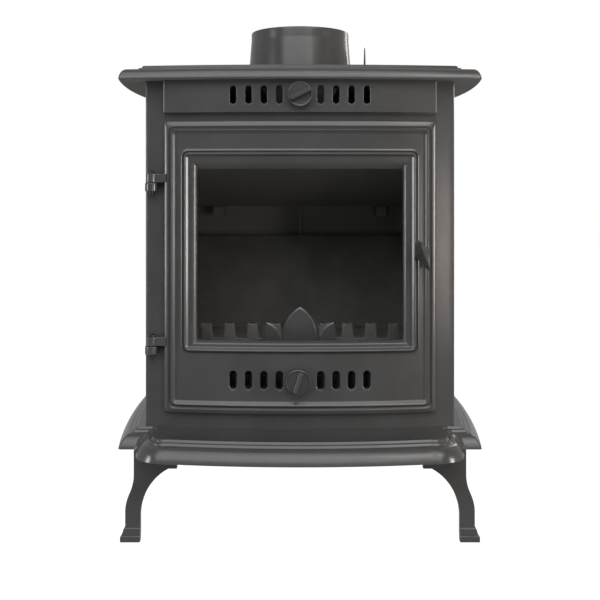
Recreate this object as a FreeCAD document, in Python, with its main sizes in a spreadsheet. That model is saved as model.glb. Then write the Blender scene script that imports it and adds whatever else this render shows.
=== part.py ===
import FreeCAD, Part
import math
import os
import Sketcher

# Cast iron wood stove on four legs, in millimetres.
# X is to the right, +Y is away from the front, +Z is up.
# The origin is on the floor, below the middle of the stove's box.

doc = FreeCAD.newDocument("CastIronStove")
sheet = doc.addObject("Spreadsheet::Sheet", "Dims")
cells = []
pieces = {}


class Size:
    """A length with its value and the sheet formula that gives it."""

    def __init__(self, value, text):
        self.value = value
        self.text = text

    def joined(self, sign, other, value):
        return Size(value, "(%s %s %s)" % (self.text, sign, as_size(other).text))

    def __add__(self, other):
        return self.joined("+", other, self.value + as_size(other).value)

    def __sub__(self, other):
        return self.joined("-", other, self.value - as_size(other).value)

    def __mul__(self, share):
        return self.joined("*", share, self.value * as_size(share).value)

    def __truediv__(self, share):
        return self.joined("/", share, self.value / as_size(share).value)

    def __neg__(self):
        return Size(-self.value, "(-1 * %s)" % self.text)


def as_size(number):
    if isinstance(number, Size):
        return number
    return Size(float(number), repr(float(number)))


def root(area):
    """The length whose square is the given product."""
    return Size(math.sqrt(area.value), "sqrt(%s)" % area.text)


def size(alias, value):
    """Writes one driving dimension to the sheet."""
    cells.append(alias)
    row = len(cells)
    sheet.set("A%d" % row, alias)
    sheet.set("B%d" % row, str(value))
    sheet.setAlias("B%d" % row, alias)
    return Size(float(value), "Dims." + alias)


# Levels and the body
leg_height = size("leg_height", 116)
base_height = size("base_height", 25)
body_height = size("body_height", 457)
top_rim_height = size("top_rim_height", 16)
top_step_height = size("top_step_height", 5)
collar_height = size("collar_height", 69)
body_width = size("body_width", 410)
wall = size("wall", 8)
bow_radius = size("bow_radius", 1300)
bow_front = size("bow_front", 140)
back_depth = size("back_depth", 200)
frame_wall = size("frame_wall", 10)
flange_width = size("flange_width", 15)
flange_sink = size("flange_sink", 4.7)
flange_depth = size("flange_depth", 11)

# Plates above and below the body
plate_width = size("plate_width", 474)
plate_side_radius = size("plate_side_radius", 1322)
plate_front_overhang = size("plate_front_overhang", 29)
plate_rear_overhang = size("plate_rear_overhang", 22)
rim_round = size("rim_round", 11)
rim_inset = size("rim_inset", 20)
top_front_sag = size("top_front_sag", 15)
top_hollow_depth = size("top_hollow_depth", 7)
top_hollow_inset = size("top_hollow_inset", 15)
top_hollow_lead = size("top_hollow_lead", 6)
base_rim_height = size("base_rim_height", 15)
ear_fillet = size("ear_fillet", 9)
lip_width = size("lip_width", 418)
lip_side = size("lip_side", 14)
lip_corner = size("lip_corner", 45)
lip_depth = size("lip_depth", 222)
lip_sag = size("lip_sag", 12)
base_slab = size("base_slab", 9)
base_hollow_inset = size("base_hollow_inset", 10)
lip_hollow_inset = size("lip_hollow_inset", 52)
rear_hollow_inset = size("rear_hollow_inset", 17)
leg_pad_margin = size("leg_pad_margin", 6)

# Legs: the outline is measured from the leg's outer face
leg_overhang = size("leg_overhang", 11)
leg_front_lead = size("leg_front_lead", 31)
leg_rear_lead = size("leg_rear_lead", 5)
leg_reach = size("leg_reach", 56)
leg_straight = size("leg_straight", 32)
leg_bracket = size("leg_bracket", 24)
leg_shelf = size("leg_shelf", 17)
leg_inner = size("leg_inner", 9.5)
leg_ankle = size("leg_ankle", 10)
leg_foot = size("leg_foot", 16)
leg_ankle_top = size("leg_ankle_top", 38)
leg_ankle_low = size("leg_ankle_low", 18)
foot_height = size("foot_height", 7)
leg_wall = size("leg_wall", 8)
leg_arch_low = size("leg_arch_low", 33)

# Tie rods that hold the legs, the base, the body and the top together
rod_radius = size("rod_radius", 4)
rod_clear = size("rod_clear", 0.5)
thread_clear = size("thread_clear", 0.05)
rod_inset = size("rod_inset", 25)
rod_front_gap = size("rod_front_gap", 7)
rod_rear_gap = size("rod_rear_gap", 7.5)
rod_bite = size("rod_bite", 5)
nut_height = size("nut_height", 6.5)
nut_across = size("nut_across", 13)
rod_end = size("rod_end", 3)

# Door
door_width = size("door_width", 360)
door_rise = size("door_rise", 19)
strip_height = size("strip_height", 10)
panel_height = size("panel_height", 43)
door_gap = size("door_gap", 0.5)
door_wall = size("door_wall", 9.5)
bead_height = size("bead_height", 2.5)
bead_width = size("bead_width", 6.5)
outer_bead_inset = size("outer_bead_inset", 10.2)
window_bead_margin = size("window_bead_margin", 18.2)
window_bead_drop = size("window_bead_drop", 15.8)
window_bead_rise = size("window_bead_rise", 21.8)
window_side_margin = size("window_side_margin", 45)
window_low_margin = size("window_low_margin", 97)
window_top_margin = size("window_top_margin", 63)
frame_side_lap = size("frame_side_lap", 30)
frame_low_lap = size("frame_low_lap", 14)
frame_top_lap = size("frame_top_lap", 25)
seal_margin = size("seal_margin", 2)
seal_width = size("seal_width", 5)
seal_depth = size("seal_depth", 2.5)
seal_proud = size("seal_proud", 0.2)
glass_lap = size("glass_lap", 10)
glass_wall = size("glass_wall", 4)
gasket_wall = size("gasket_wall", 1.5)
gasket_width = size("gasket_width", 8)
clip_width = size("clip_width", 16)
clip_wall = size("clip_wall", 1.5)
clip_lap = size("clip_lap", 6)
clip_inset = size("clip_inset", 40)
clip_foot = size("clip_foot", 14)
clip_play = size("clip_play", 0.4)
screw_radius = size("screw_radius", 2.5)
screw_head_radius = size("screw_head_radius", 4.5)
screw_head = size("screw_head", 2.5)
screw_bite = size("screw_bite", 5)
screw_seat = size("screw_seat", 0.7)
panel_screw_inset = size("panel_screw_inset", 15)
panel_screw_pitch = size("panel_screw_pitch", 30)

# Hinges
hinge_reach = size("hinge_reach", 16)
hinge_stand = size("hinge_stand", 8.4)
pin_radius = size("pin_radius", 3)
pin_head_radius = size("pin_head_radius", 4.3)
pin_head = size("pin_head", 4.5)
pin_tail = size("pin_tail", 5)
hinge_clear = size("hinge_clear", 0.05)
knuckle_radius = size("knuckle_radius", 8)
lug_radius = size("lug_radius", 7)
lug_half_depth = size("lug_half_depth", 4.5)
knuckle_height = size("knuckle_height", 11)
lug_height = size("lug_height", 11.5)
lug_gap = size("lug_gap", 0.6)
upper_hinge_drop = size("upper_hinge_drop", 93)
lower_hinge_rise = size("lower_hinge_rise", 77.5)

# Air slots, shutters and their knobs
slot_pitch = size("slot_pitch", 20.2)
slot_first = size("slot_first", 26.7)
slot_width = size("slot_width", 9.4)
slot_height = size("slot_height", 24)
lower_slot_rise = size("lower_slot_rise", 46)
upper_slot_drop = size("upper_slot_drop", 20)
lower_rest = size("lower_rest", -2.4)
upper_rest = size("upper_rest", 0)
slide_travel = size("slide_travel", 10.1)
shutter_gap = size("shutter_gap", 1.3)
shutter_wall = size("shutter_wall", 2.5)
shutter_margin = size("shutter_margin", 6)
shutter_lap = size("shutter_lap", 1.5)
shutter_play = size("shutter_play", 0.4)
rail_margin = size("rail_margin", 4)
rail_wall = size("rail_wall", 2)
rail_lip = size("rail_lip", 2.5)
vent_opening_margin = size("vent_opening_margin", 0.5)
stud_radius = size("stud_radius", 3)
stud_clear = size("stud_clear", 1)
stud_head_radius = size("stud_head_radius", 5)
stud_head = size("stud_head", 2)
stud_seat = size("stud_seat", 0.05)
knob_radius = size("knob_radius", 16.2)
knob_wall = size("knob_wall", 6)
knob_stand = size("knob_stand", 3.5)
knob_bar_width = size("knob_bar_width", 7.5)
knob_bar_depth = size("knob_bar_depth", 9)
knob_bar_length = size("knob_bar_length", 30)
knob_clear = size("knob_clear", 0.05)
knob_seat = size("knob_seat", 4)
upper_bar_angle = size("upper_bar_angle", 27)
lower_bar_angle = size("lower_bar_angle", 72)

# Handle and latch
handle_inset = size("handle_inset", 21)
handle_rise = size("handle_rise", 210)
spindle_radius = size("spindle_radius", 5)
spindle_clear = size("spindle_clear", 0.05)
handle_width = size("handle_width", 20)
handle_length = size("handle_length", 42)
handle_lean = size("handle_lean", 20)
handle_socket = size("handle_socket", 16)
handle_depth = size("handle_depth", 30)
handle_side_depth = size("handle_side_depth", 12)
handle_gap = size("handle_gap", 0.3)
boss_radius = size("boss_radius", 9)
boss_stand = size("boss_stand", 9.7)
boss_sink = size("boss_sink", 3.3)
notch_half = size("notch_half", 12)
notch_height = size("notch_height", 32)
tongue_length = size("tongue_length", 24)
tongue_width = size("tongue_width", 12)
tongue_wall = size("tongue_wall", 5)
tongue_gap = size("tongue_gap", 0.4)
keeper_width = size("keeper_width", 14)
keeper_height = size("keeper_height", 30)
keeper_inset = size("keeper_inset", 2)
keeper_drop = size("keeper_drop", 4)

# Flue collar and damper
collar_y = size("collar_y", 47)
collar_base_radius = size("collar_base_radius", 77.5)
collar_top_radius = size("collar_top_radius", 73.2)
collar_land = size("collar_land", 14)
flue_radius = size("flue_radius", 66)
collar_bolt_inset = size("collar_bolt_inset", 6)
collar_bolt_radius = size("collar_bolt_radius", 3)
collar_bolt_bite = size("collar_bolt_bite", 14)
bolt_head_radius = size("bolt_head_radius", 5)
bolt_head = size("bolt_head", 4)
damper_rise = size("damper_rise", 14)
damper_radius = size("damper_radius", 4)
damper_clear = size("damper_clear", 0.06)
vane_clear = size("vane_clear", 2.5)
vane_half = size("vane_half", 50)
vane_wall = size("vane_wall", 4)
vane_boss_radius = size("vane_boss_radius", 7)
vane_boss_half = size("vane_boss_half", 45)
lever_gap = size("lever_gap", 18.5)
lever_wall = size("lever_wall", 4)
lever_hub = size("lever_hub", 8)
lever_length = size("lever_length", 34)
lever_width = size("lever_width", 11)
lever_tip = size("lever_tip", 1.6)
damper_stub = size("damper_stub", 4)

# Firebox lining
floor_rise = size("floor_rise", 74)
floor_wall = size("floor_wall", 8)
floor_front_gap = size("floor_front_gap", 14)
floor_rear_gap = size("floor_rear_gap", 16)
liner_wall = size("liner_wall", 10)
liner_drop = size("liner_drop", 49)
side_liner_drop = size("side_liner_drop", 24)
liner_play = size("liner_play", 0.5)
liner_rod_gap = size("liner_rod_gap", 10)
back_liner_gap = size("back_liner_gap", 3)
rail_depth = size("rail_depth", 10)
rail_reach = size("rail_reach", 12)
grate_width = size("grate_width", 150)
grate_depth = size("grate_depth", 150)
grate_setback = size("grate_setback", 59)
grate_ledge = size("grate_ledge", 6)
grate_play = size("grate_play", 1)
grate_slot = size("grate_slot", 9)
grate_bar = size("grate_bar", 11)
fence_setback = size("fence_setback", 16)
fence_wall = size("fence_wall", 6)
fence_inset = size("fence_inset", 38.5)
fence_bar = size("fence_bar", 27)
tooth_rise = size("tooth_rise", 20.6)
tooth_base = size("tooth_base", 8.8)
tooth_tip = size("tooth_tip", 6.4)
petal_half = size("petal_half", 23)
petal_rise = size("petal_rise", 43)
petal_radius = size("petal_radius", 64)
petal_gap = size("petal_gap", 1.8)
leaf_reach = size("leaf_reach", 6.2)
leaf_lean = size("leaf_lean", 4.1)
leaf_gap = size("leaf_gap", 6.25)
leaf_rise = size("leaf_rise", 22)
leaf_dip = size("leaf_dip", 3.6)
leaf_radius = size("leaf_radius", 46)
baffle_side_gap = size("baffle_side_gap", 13)
baffle_wall = size("baffle_wall", 8)
baffle_rear_gap = size("baffle_rear_gap", 32)
baffle_drop = size("baffle_drop", 174)
baffle_run = size("baffle_run", 205)
baffle_rise = size("baffle_rise", 66)
baffle_gap = size("baffle_gap", 0.3)
baffle_lug_x = size("baffle_lug_x", 133)
baffle_lug_half = size("baffle_lug_half", 9)
baffle_lug_height = size("baffle_lug_height", 16)
baffle_lug_reach = size("baffle_lug_reach", 40)
peg_radius = size("peg_radius", 5)
peg_reach = size("peg_reach", 22)
peg_setback = size("peg_setback", 180)
back_rib_half = size("back_rib_half", 4)
back_rib_depth = size("back_rib_depth", 6)
back_rib_height = size("back_rib_height", 43)

# Ash pan
pan_side_gap = size("pan_side_gap", 12)
pan_front_gap = size("pan_front_gap", 2)
pan_rear_gap = size("pan_rear_gap", 11)
pan_rise = size("pan_rise", 35)
pan_height = size("pan_height", 27)
pan_wall = size("pan_wall", 2)
runner_inset = size("runner_inset", 20)
runner_width = size("runner_width", 12)

# Beads on the side and back plates
panel_bead_inset = size("panel_bead_inset", 34)
panel_bead_width = size("panel_bead_width", 6)
panel_bead_height = size("panel_bead_height", 2)

doc.recompute()


def bow_depth(radius, x):
    """Y of the bowed face of a radius at a distance from the middle."""
    return bow_y - root(radius * radius - x * x)


# Places worked out from the driving dimensions
zero = as_size(0)
base_top = leg_height + base_height
body_top = base_top + body_height
rim_top = body_top + top_rim_height
top_z = rim_top + top_step_height
collar_top = top_z + collar_height
body_half = body_width / 2
front_y = -bow_front
back_y = zero + back_depth
bow_y = front_y + bow_radius
flange_front = bow_depth(bow_radius, body_half) + flange_sink
flange_back = flange_front + flange_depth
side_inner = body_half - wall
back_inner = back_y - wall
plate_half = plate_width / 2
plate_front = flange_front - plate_front_overhang
plate_rear = back_y + plate_rear_overhang
lip_half = lip_width / 2
lip_front = -lip_depth
leg_face_x = body_half + leg_overhang
leg_front_y = flange_front - leg_front_lead
leg_rear_y = back_y + leg_rear_lead
rod_x = body_half - rod_inset
rod_front_y = flange_back + rod_front_gap
rod_rear_y = back_inner - rod_rear_gap
door_half = door_width / 2
door_inner = bow_radius + door_gap
door_outer = door_inner + door_wall
door_low = base_top + door_rise
panel_low = body_top - panel_height
door_top = panel_low - strip_height
outer_bead_half = door_half - outer_bead_inset
outer_bead_low = door_low + outer_bead_inset
outer_bead_top = door_top - outer_bead_inset
window_half = door_half - window_side_margin
window_low = door_low + window_low_margin
window_top = door_top - window_top_margin
window_bead_half = window_half + window_bead_margin
window_bead_low = window_low - window_bead_drop
window_bead_top = window_top + window_bead_rise
opening_half = door_half - frame_side_lap
opening_low = door_low + frame_low_lap
opening_top = door_top - frame_top_lap
seal_half = door_half - seal_margin
clip_x = window_half - clip_inset
hinge_x = -door_half - hinge_reach
hinge_y = bow_depth(bow_radius, hinge_x) - hinge_stand
upper_knuckle_low = door_top - upper_hinge_drop
lower_knuckle_low = door_low + lower_hinge_rise
lower_slot_z = door_low + lower_slot_rise
upper_slot_z = body_top - upper_slot_drop
shutter_half = slot_first + slot_pitch * 3 + slot_width / 2 + shutter_margin
shutter_height = slot_height + shutter_lap * 2
rail_half = shutter_half + slide_travel + rail_margin
vent_opening_half = rail_half + rail_margin
handle_x = door_half - handle_inset
handle_z = door_low + handle_rise
boss_front = bow_depth(door_outer, handle_x) - boss_stand
keeper_back_y = flange_back - keeper_drop
lever_x = collar_base_radius + lever_gap
collar_bolt_circle = collar_base_radius - collar_bolt_inset
floor_low = base_top + floor_rise
floor_top = floor_low + floor_wall
floor_front = flange_back + floor_front_gap
floor_rear = back_inner - floor_rear_gap
baffle_half = side_inner - baffle_side_gap
baffle_rear_y = back_inner - baffle_rear_gap
baffle_rear_z = body_top - baffle_drop
baffle_lug_front = back_inner - baffle_lug_reach
peg_y = baffle_rear_y - peg_setback
liner_top = baffle_rear_z - liner_drop
side_liner_top = baffle_rear_z - side_liner_drop
back_rib_top = liner_top + back_rib_height
back_liner_half = rod_x - liner_rod_gap
back_liner_front = back_inner - back_liner_gap - liner_wall
grate_half_x = grate_width / 2
grate_front = floor_front + grate_setback
grate_rear = grate_front + grate_depth
fence_y = floor_front + fence_setback
fence_half = side_inner - fence_inset
pan_half = opening_half - pan_side_gap
pan_front = floor_front + pan_front_gap
pan_rear = floor_rear - pan_rear_gap
pan_low = base_top + pan_rise
runner_x = pan_half - runner_inset


def place(obj, x, y, z):
    for axis, length in zip("xyz", (x, y, z)):
        obj.setExpression("Placement.Base." + axis, as_size(length).text)
    return obj


def box(x0, x1, y0, y1, z0, z1):
    """A block between two corners."""
    obj = doc.addObject("Part::Box", "Block")
    obj.setExpression("Length", (as_size(x1) - x0).text)
    obj.setExpression("Width", (as_size(y1) - y0).text)
    obj.setExpression("Height", (as_size(z1) - z0).text)
    return place(obj, x0, y0, z0)


TURNS = {"Z": ((0, 0, 1), 0), "X": ((0, 1, 0), 90), "Y": ((1, 0, 0), -90)}


def cylinder(radius, length, x, y, z, axis="Z"):
    """A round bar that starts at a point and runs along +X, +Y or +Z."""
    obj = doc.addObject("Part::Cylinder", "Round")
    turn, angle = TURNS[axis]
    obj.Placement.Rotation = FreeCAD.Rotation(FreeCAD.Vector(*turn), angle)
    obj.setExpression("Radius", radius.text)
    obj.setExpression("Height", as_size(length).text)
    return place(obj, x, y, z)


def hexagon(across, length, x, y, z):
    """A six-sided prism along +Z."""
    obj = doc.addObject("Part::Prism", "Hexagon")
    obj.Polygon = 6
    obj.setExpression("Circumradius", (across / root(as_size(3))).text)
    obj.setExpression("Height", length.text)
    return place(obj, x, y, z)


def fuse(*shapes):
    obj = doc.addObject("Part::MultiFuse", "Fusion")
    obj.Shapes = list(shapes)
    obj.Refine = True
    return obj


def cut(base, *tools):
    obj = doc.addObject("Part::Cut", "Cut")
    obj.Base = base
    obj.Tool = tools[0] if len(tools) == 1 else fuse(*tools)
    return obj


def common(*shapes):
    obj = doc.addObject("Part::MultiCommon", "Overlap")
    obj.Shapes = list(shapes)
    return obj


def mirror(source, normal, y=zero):
    obj = doc.addObject("Part::Mirroring", "Mirror")
    obj.Source = source
    obj.Normal = FreeCAD.Vector(*normal)
    obj.setExpression("Base.y", y.text)
    return obj


def group(*shapes):
    """Several equal small pieces in one node."""
    obj = doc.addObject("Part::Compound", "Set")
    obj.Links = list(shapes)
    return obj


def piece(label, obj):
    obj.Label = label
    pieces[label] = obj
    return obj


def bow(radius):
    """The upright cylinder that the bowed front follows."""
    return cylinder(radius, collar_top, zero, bow_y, zero)


def shell(half, z0, z1, inner, outer):
    """A stretch of the bowed front between two radii."""
    block = box(-half, half, lip_front, zero, z0, z1)
    return cut(common(block, bow(outer)), bow(inner))


def ring(half, z0, z1, width, inner, outer):
    """A rectangular ring that lies on the bowed front."""
    return cut(shell(half, z0, z1, inner, outer),
               box(width - half, half - width, lip_front, zero, z0 + width, z1 - width))


PLANES = {"front": "XZ_Plane", "side": "YZ_Plane", "plan": "XY_Plane"}


def arc_between(start, end, radius, centre_left):
    """The short arc between two points, with its centre left or right of the way."""
    chord = end - start
    middle = (start + end) * 0.5
    rise = math.sqrt(radius * radius - chord.Length * chord.Length / 4)
    normal = FreeCAD.Vector(-chord.y, chord.x, 0).normalize()
    centre = middle + normal * (rise if centre_left else -rise)
    first, last = (start, end) if centre_left else (end, start)
    angles = [math.atan2(p.y - centre.y, p.x - centre.x) for p in (first, last)]
    circle = Part.Circle(centre, FreeCAD.Vector(0, 0, 1), radius)
    return Part.ArcOfCircle(circle, angles[0], angles[1])


def pin_to_origin(sketch, kind, axis, geometry, position, length):
    """Ties one coordinate of a sketch point to its formula."""
    if abs(length.value) < 1e-9:
        sketch.addConstraint(Sketcher.Constraint("PointOnObject", geometry, position, axis))
        return
    rule = Sketcher.Constraint(kind, -1, 1, geometry, position, length.value)
    index = sketch.addConstraint(rule)
    sketch.setExpression("Constraints[%d]" % index, length.text)


def outline_pad(plane, points, arcs, length, at):
    """A body padded from a closed outline; arcs maps a side's number to its radius and centre side."""
    body = doc.addObject("PartDesign::Body", "Body")
    origin = [f for f in body.Origin.OriginFeatures if f.Role == PLANES[plane]][0]
    sketch = body.newObject("Sketcher::SketchObject", "Outline")
    sketch.AttachmentSupport = [(origin, "")]
    sketch.MapMode = "FlatFace"
    points = [(as_size(x), as_size(y)) for x, y in points]
    corners = [FreeCAD.Vector(x.value, y.value, 0) for x, y in points]
    ends = []
    for i, corner in enumerate(corners):
        following = corners[(i + 1) % len(corners)]
        if i in arcs:
            radius, centre_left = arcs[i]
            sketch.addGeometry(arc_between(corner, following, radius.value, centre_left))
            ends.append((1, 2) if centre_left else (2, 1))
        else:
            sketch.addGeometry(Part.LineSegment(corner, following))
            ends.append((1, 2))
    for i in range(len(corners)):
        after = (i + 1) % len(corners)
        sketch.addConstraint(Sketcher.Constraint("Coincident", i, ends[i][1], after, ends[after][0]))
    for i, (x, y) in enumerate(points):
        pin_to_origin(sketch, "DistanceX", -2, i, ends[i][0], x)
        pin_to_origin(sketch, "DistanceY", -1, i, ends[i][0], y)
    for i, (radius, centre_left) in arcs.items():
        index = sketch.addConstraint(Sketcher.Constraint("Radius", i, radius.value))
        sketch.setExpression("Constraints[%d]" % index, radius.text)
    pad = body.newObject("PartDesign::Pad", "Pad")
    pad.Profile = sketch
    pad.setExpression("Length", length.text)
    return place(body, *at)


def fillet(base, radius, chosen):
    """Rounds the edges that the test picks."""
    doc.recompute()
    obj = doc.addObject("Part::Fillet", "Rounded")
    obj.Base = base
    numbers = [i + 1 for i, edge in enumerate(base.Shape.Edges) if chosen(edge.BoundBox)]
    obj.Edges = [(number, radius.value, radius.value) for number in numbers]
    return obj


def arc_radius(run, rise):
    """Radius of an arc that starts along the rise and ends the run away."""
    return (run * run + rise * rise) / (run * 2)


def corners(x, front, rear):
    """The four upright tie rods' places."""
    return [(x, front), (-x, front), (x, rear), (-x, rear)]


def rod_holes(z, length):
    radius = rod_radius + rod_clear
    return [cylinder(radius, length, x, y, z) for x, y in corners(rod_x, rod_front_y, rod_rear_y)]


def base_outline(inset):
    """Half of the hearth plate's outline and the whole plate's arcs, drawn in from the edge by an inset."""
    lip_x = lip_half - inset
    ear_y = plate_front + inset
    side_x = plate_half - inset
    lip_y = ear_y - ear_fillet
    bow_half = lip_half - lip_corner
    bow_side_y = lip_front + lip_sag + inset
    corner_y = plate_front - ear_fillet - lip_side
    right = [(bow_half, bow_side_y), (lip_x, corner_y), (lip_x, lip_y), (lip_x + ear_fillet, ear_y),
             (side_x, ear_y), (side_x, plate_rear - inset)]
    left = [(-x, y) for x, y in reversed(right)]
    corner = arc_radius(lip_x - bow_half, corner_y - bow_side_y)
    front = arc_radius(lip_sag, bow_half)
    side = plate_side_radius - inset
    arcs = {0: (corner, True), 2: (ear_fillet, False), 4: (side, True), 6: (side, True),
            8: (ear_fillet, False), 10: (corner, True), 11: (front, True)}
    return right + left, arcs


def base_plate():
    """The hearth plate: a round rim with convex sides, square ears and a bowed lip, and a raised middle."""
    points, arcs = base_outline(zero)
    slab = outline_pad("plan", points, arcs, base_rim_height, (zero, zero, leg_height))
    rim_z = leg_height + base_rim_height
    rim = fillet(slab, rim_round, lambda bounds: bounds.ZMin > rim_z.value - rim_round.value)
    points, arcs = base_outline(rim_inset)
    middle = outline_pad("plan", points, arcs, base_height - base_rim_height, (zero, zero, rim_z))
    ceiling = base_top - base_slab
    pad_front = leg_front_y + leg_reach + leg_pad_margin
    pad_rear = leg_rear_y - leg_reach - leg_pad_margin
    side_half = body_half - base_hollow_inset
    along_half = leg_face_x - leg_reach - base_hollow_inset
    across = box(-side_half, side_half, pad_front, pad_rear, leg_height, ceiling)
    along = box(-along_half, along_half, lip_front + lip_hollow_inset, plate_rear - rear_hollow_inset,
                leg_height, ceiling)
    piece("base_plate", cut(fuse(rim, middle), across, along, *rod_holes(leg_height, base_height)))


def leg_outline(face, outward):
    """One face of a leg, with its bracket, ankle and foot, from its outer face's place."""
    shelf_z = leg_height - leg_bracket
    knee_z = leg_height - leg_straight
    middle_z = (knee_z + leg_ankle_top) / 2
    steps = [(-leg_reach, leg_height), (-leg_reach, shelf_z), (leg_shelf - leg_reach, shelf_z),
             (-leg_inner, leg_arch_low), (-leg_inner, zero), (leg_foot, zero), (leg_foot, foot_height),
             (leg_ankle, leg_ankle_low), (leg_ankle, leg_ankle_top), (leg_ankle / 2, middle_z),
             (zero, knee_z), (zero, leg_height)]
    arch = arc_radius(leg_reach - leg_shelf - leg_inner, shelf_z - leg_arch_low)
    curl = arc_radius(leg_ankle / 2, knee_z - middle_z)
    same_way = outward > 0
    arcs = {2: (arch, not same_way), 8: (curl, same_way), 9: (curl, not same_way)}
    return [(face + step * outward, z) for step, z in steps], arcs


def leg_block(inset):
    """The leg as a full block, moved inward and down by an inset."""
    depth = leg_reach + leg_foot
    points, arcs = leg_outline(leg_face_x, 1)
    front = outline_pad("front", points, arcs, depth, (-inset, leg_front_y + leg_reach + inset, -inset))
    points, arcs = leg_outline(leg_front_y, -1)
    side = outline_pad("side", points, arcs, depth, (leg_face_x - leg_reach - inset, inset, -inset))
    return common(front, side)


def legs():
    """Four hollow corner legs, each clamped by a tie rod through its top flange."""
    front_right = cut(leg_block(zero), leg_block(leg_wall))
    rear_right = mirror(front_right, (0, 1, 0), (leg_front_y + leg_rear_y) / 2)
    flange_z = leg_height - leg_wall
    blanks = {"leg_front_right": front_right, "leg_front_left": mirror(front_right, (1, 0, 0)),
              "leg_rear_right": rear_right, "leg_rear_left": mirror(rear_right, (1, 0, 0))}
    for (label, blank), hole in zip(blanks.items(), rod_holes(flange_z, leg_wall)):
        piece(label, cut(blank, hole))


def tie_rods():
    names = ["front_right", "front_left", "rear_right", "rear_left"]
    flange_z = leg_height - leg_wall
    low = flange_z - nut_height - rod_end
    for name, (x, y) in zip(names, corners(rod_x, rod_front_y, rod_rear_y)):
        piece("tie_rod_" + name, cylinder(rod_radius, body_top + rod_bite - low, x, y, low))
        nut = hexagon(nut_across, nut_height, x, y, flange_z - nut_height)
        bore = cylinder(rod_radius + thread_clear, nut_height, x, y, flange_z - nut_height)
        piece("tie_rod_nut_" + name, cut(nut, bore))


def slots(height, offset):
    """The two rows of four upright air slots with round ends, cut right through."""
    tools = []
    half = slot_width / 2
    end = slot_height / 2 - half
    for side in (-1, 1):
        for number in range(4):
            x = (slot_first + slot_pitch * number) * side + offset
            tools.append(box(x - half, x + half, lip_front, zero, height - end, height + end))
            for way in (-1, 1):
                tools.append(cylinder(half, -lip_front, x, lip_front, height + end * way, "Y"))
    return tools


def stud_slot(height):
    """The slot that the knob's stud slides in."""
    half = stud_radius + stud_clear
    return box(-slide_travel - half, half, lip_front, zero, height - half, height + half)


def hinge_levels():
    return [("upper", upper_knuckle_low), ("lower", lower_knuckle_low)]


def front_frame():
    inner = bow_radius - frame_wall
    solids = [shell(body_half, base_top, body_top, inner, bow_radius)]
    for x0, x1 in ((body_half - flange_width, body_half), (-body_half, flange_width - body_half)):
        solids.append(box(x0, x1, flange_front, flange_back, base_top, body_top))
    bores = []
    for name, low in hinge_levels():
        solids.append(cylinder(knuckle_radius, knuckle_height, hinge_x, hinge_y, low))
        web = knuckle_radius - lug_gap
        solids.append(box(hinge_x - web, hinge_x + web, hinge_y, flange_front, low, low + knuckle_height))
        bores.append(cylinder(pin_radius + hinge_clear, knuckle_height, hinge_x, hinge_y, low))
    vent_half = shutter_height / 2 + shutter_play + rail_wall + vent_opening_margin
    openings = [
        box(-opening_half, opening_half, lip_front, zero, opening_low, opening_top),
        box(opening_half - notch_half, handle_x + notch_half, lip_front, zero,
            handle_z - notch_height, handle_z + notch_height),
        box(-vent_opening_half, vent_opening_half, lip_front, zero,
            upper_slot_z - vent_half, upper_slot_z + vent_half)]
    piece("front_frame", cut(fuse(*solids), *openings, *bores, *panel_screw_holes()))


def panel_screw_places():
    far = door_half - panel_screw_inset
    near = far - panel_screw_pitch
    return [near, far, -near, -far]


def panel_screw_span(x):
    """Where a panel screw's shank starts in the panel and where its head seats."""
    return bow_depth(bow_radius, x) - screw_bite, bow_depth(bow_radius - frame_wall, x) + screw_seat


def panel_screw_holes():
    holes = []
    for x in panel_screw_places():
        start, seat = panel_screw_span(x)
        holes.append(cylinder(screw_radius + thread_clear, seat - start, x, start, upper_slot_z, "Y"))
    return holes


def vent_panel():
    panel = shell(door_half, panel_low, body_top, bow_radius, door_outer)
    cuts = slots(upper_slot_z, zero) + [stud_slot(upper_slot_z)] + panel_screw_holes()
    piece("upper_vent_panel", cut(panel, *cuts))
    screws = []
    for x in panel_screw_places():
        start, seat = panel_screw_span(x)
        shank = cylinder(screw_radius, seat - start, x, start, upper_slot_z, "Y")
        screws.append(fuse(shank, cylinder(screw_head_radius, screw_head, x, seat, upper_slot_z, "Y")))
    piece("vent_panel_screws", group(*screws))


def bead_frame(x0, x1, y0, y1, z0, z1, width, along):
    """A raised rectangular bead on a flat plate that faces along X or Y."""
    outer = box(x0, x1, y0, y1, z0, z1)
    if along == "X":
        return cut(outer, box(x0, x1, y0 + width, y1 - width, z0 + width, z1 - width))
    return cut(outer, box(x0 + width, x1 - width, y0, y1, z0 + width, z1 - width))


def baffle_slope():
    return baffle_rise / baffle_run


def side_plates():
    low = base_top + panel_bead_inset
    high = body_top - panel_bead_inset
    slope = baffle_slope()
    peg_drop = peg_radius * root(slope * slope + 1) + baffle_gap
    peg_z = baffle_rear_z + (baffle_rear_y - peg_y) * slope - peg_drop
    plate = fuse(
        box(side_inner, body_half, flange_back, back_inner, base_top, body_top),
        box(side_inner - rail_reach, side_inner, floor_front, floor_rear, floor_low - rail_depth, floor_low),
        cylinder(peg_radius, peg_reach, side_inner - peg_reach, peg_y, peg_z, "X"),
        bead_frame(body_half, body_half + panel_bead_height, flange_back + panel_bead_inset,
                   back_inner - panel_bead_inset, low, high, panel_bead_width, "X"))
    piece("side_plate_right", plate)
    piece("side_plate_left", mirror(plate, (1, 0, 0)))


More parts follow.
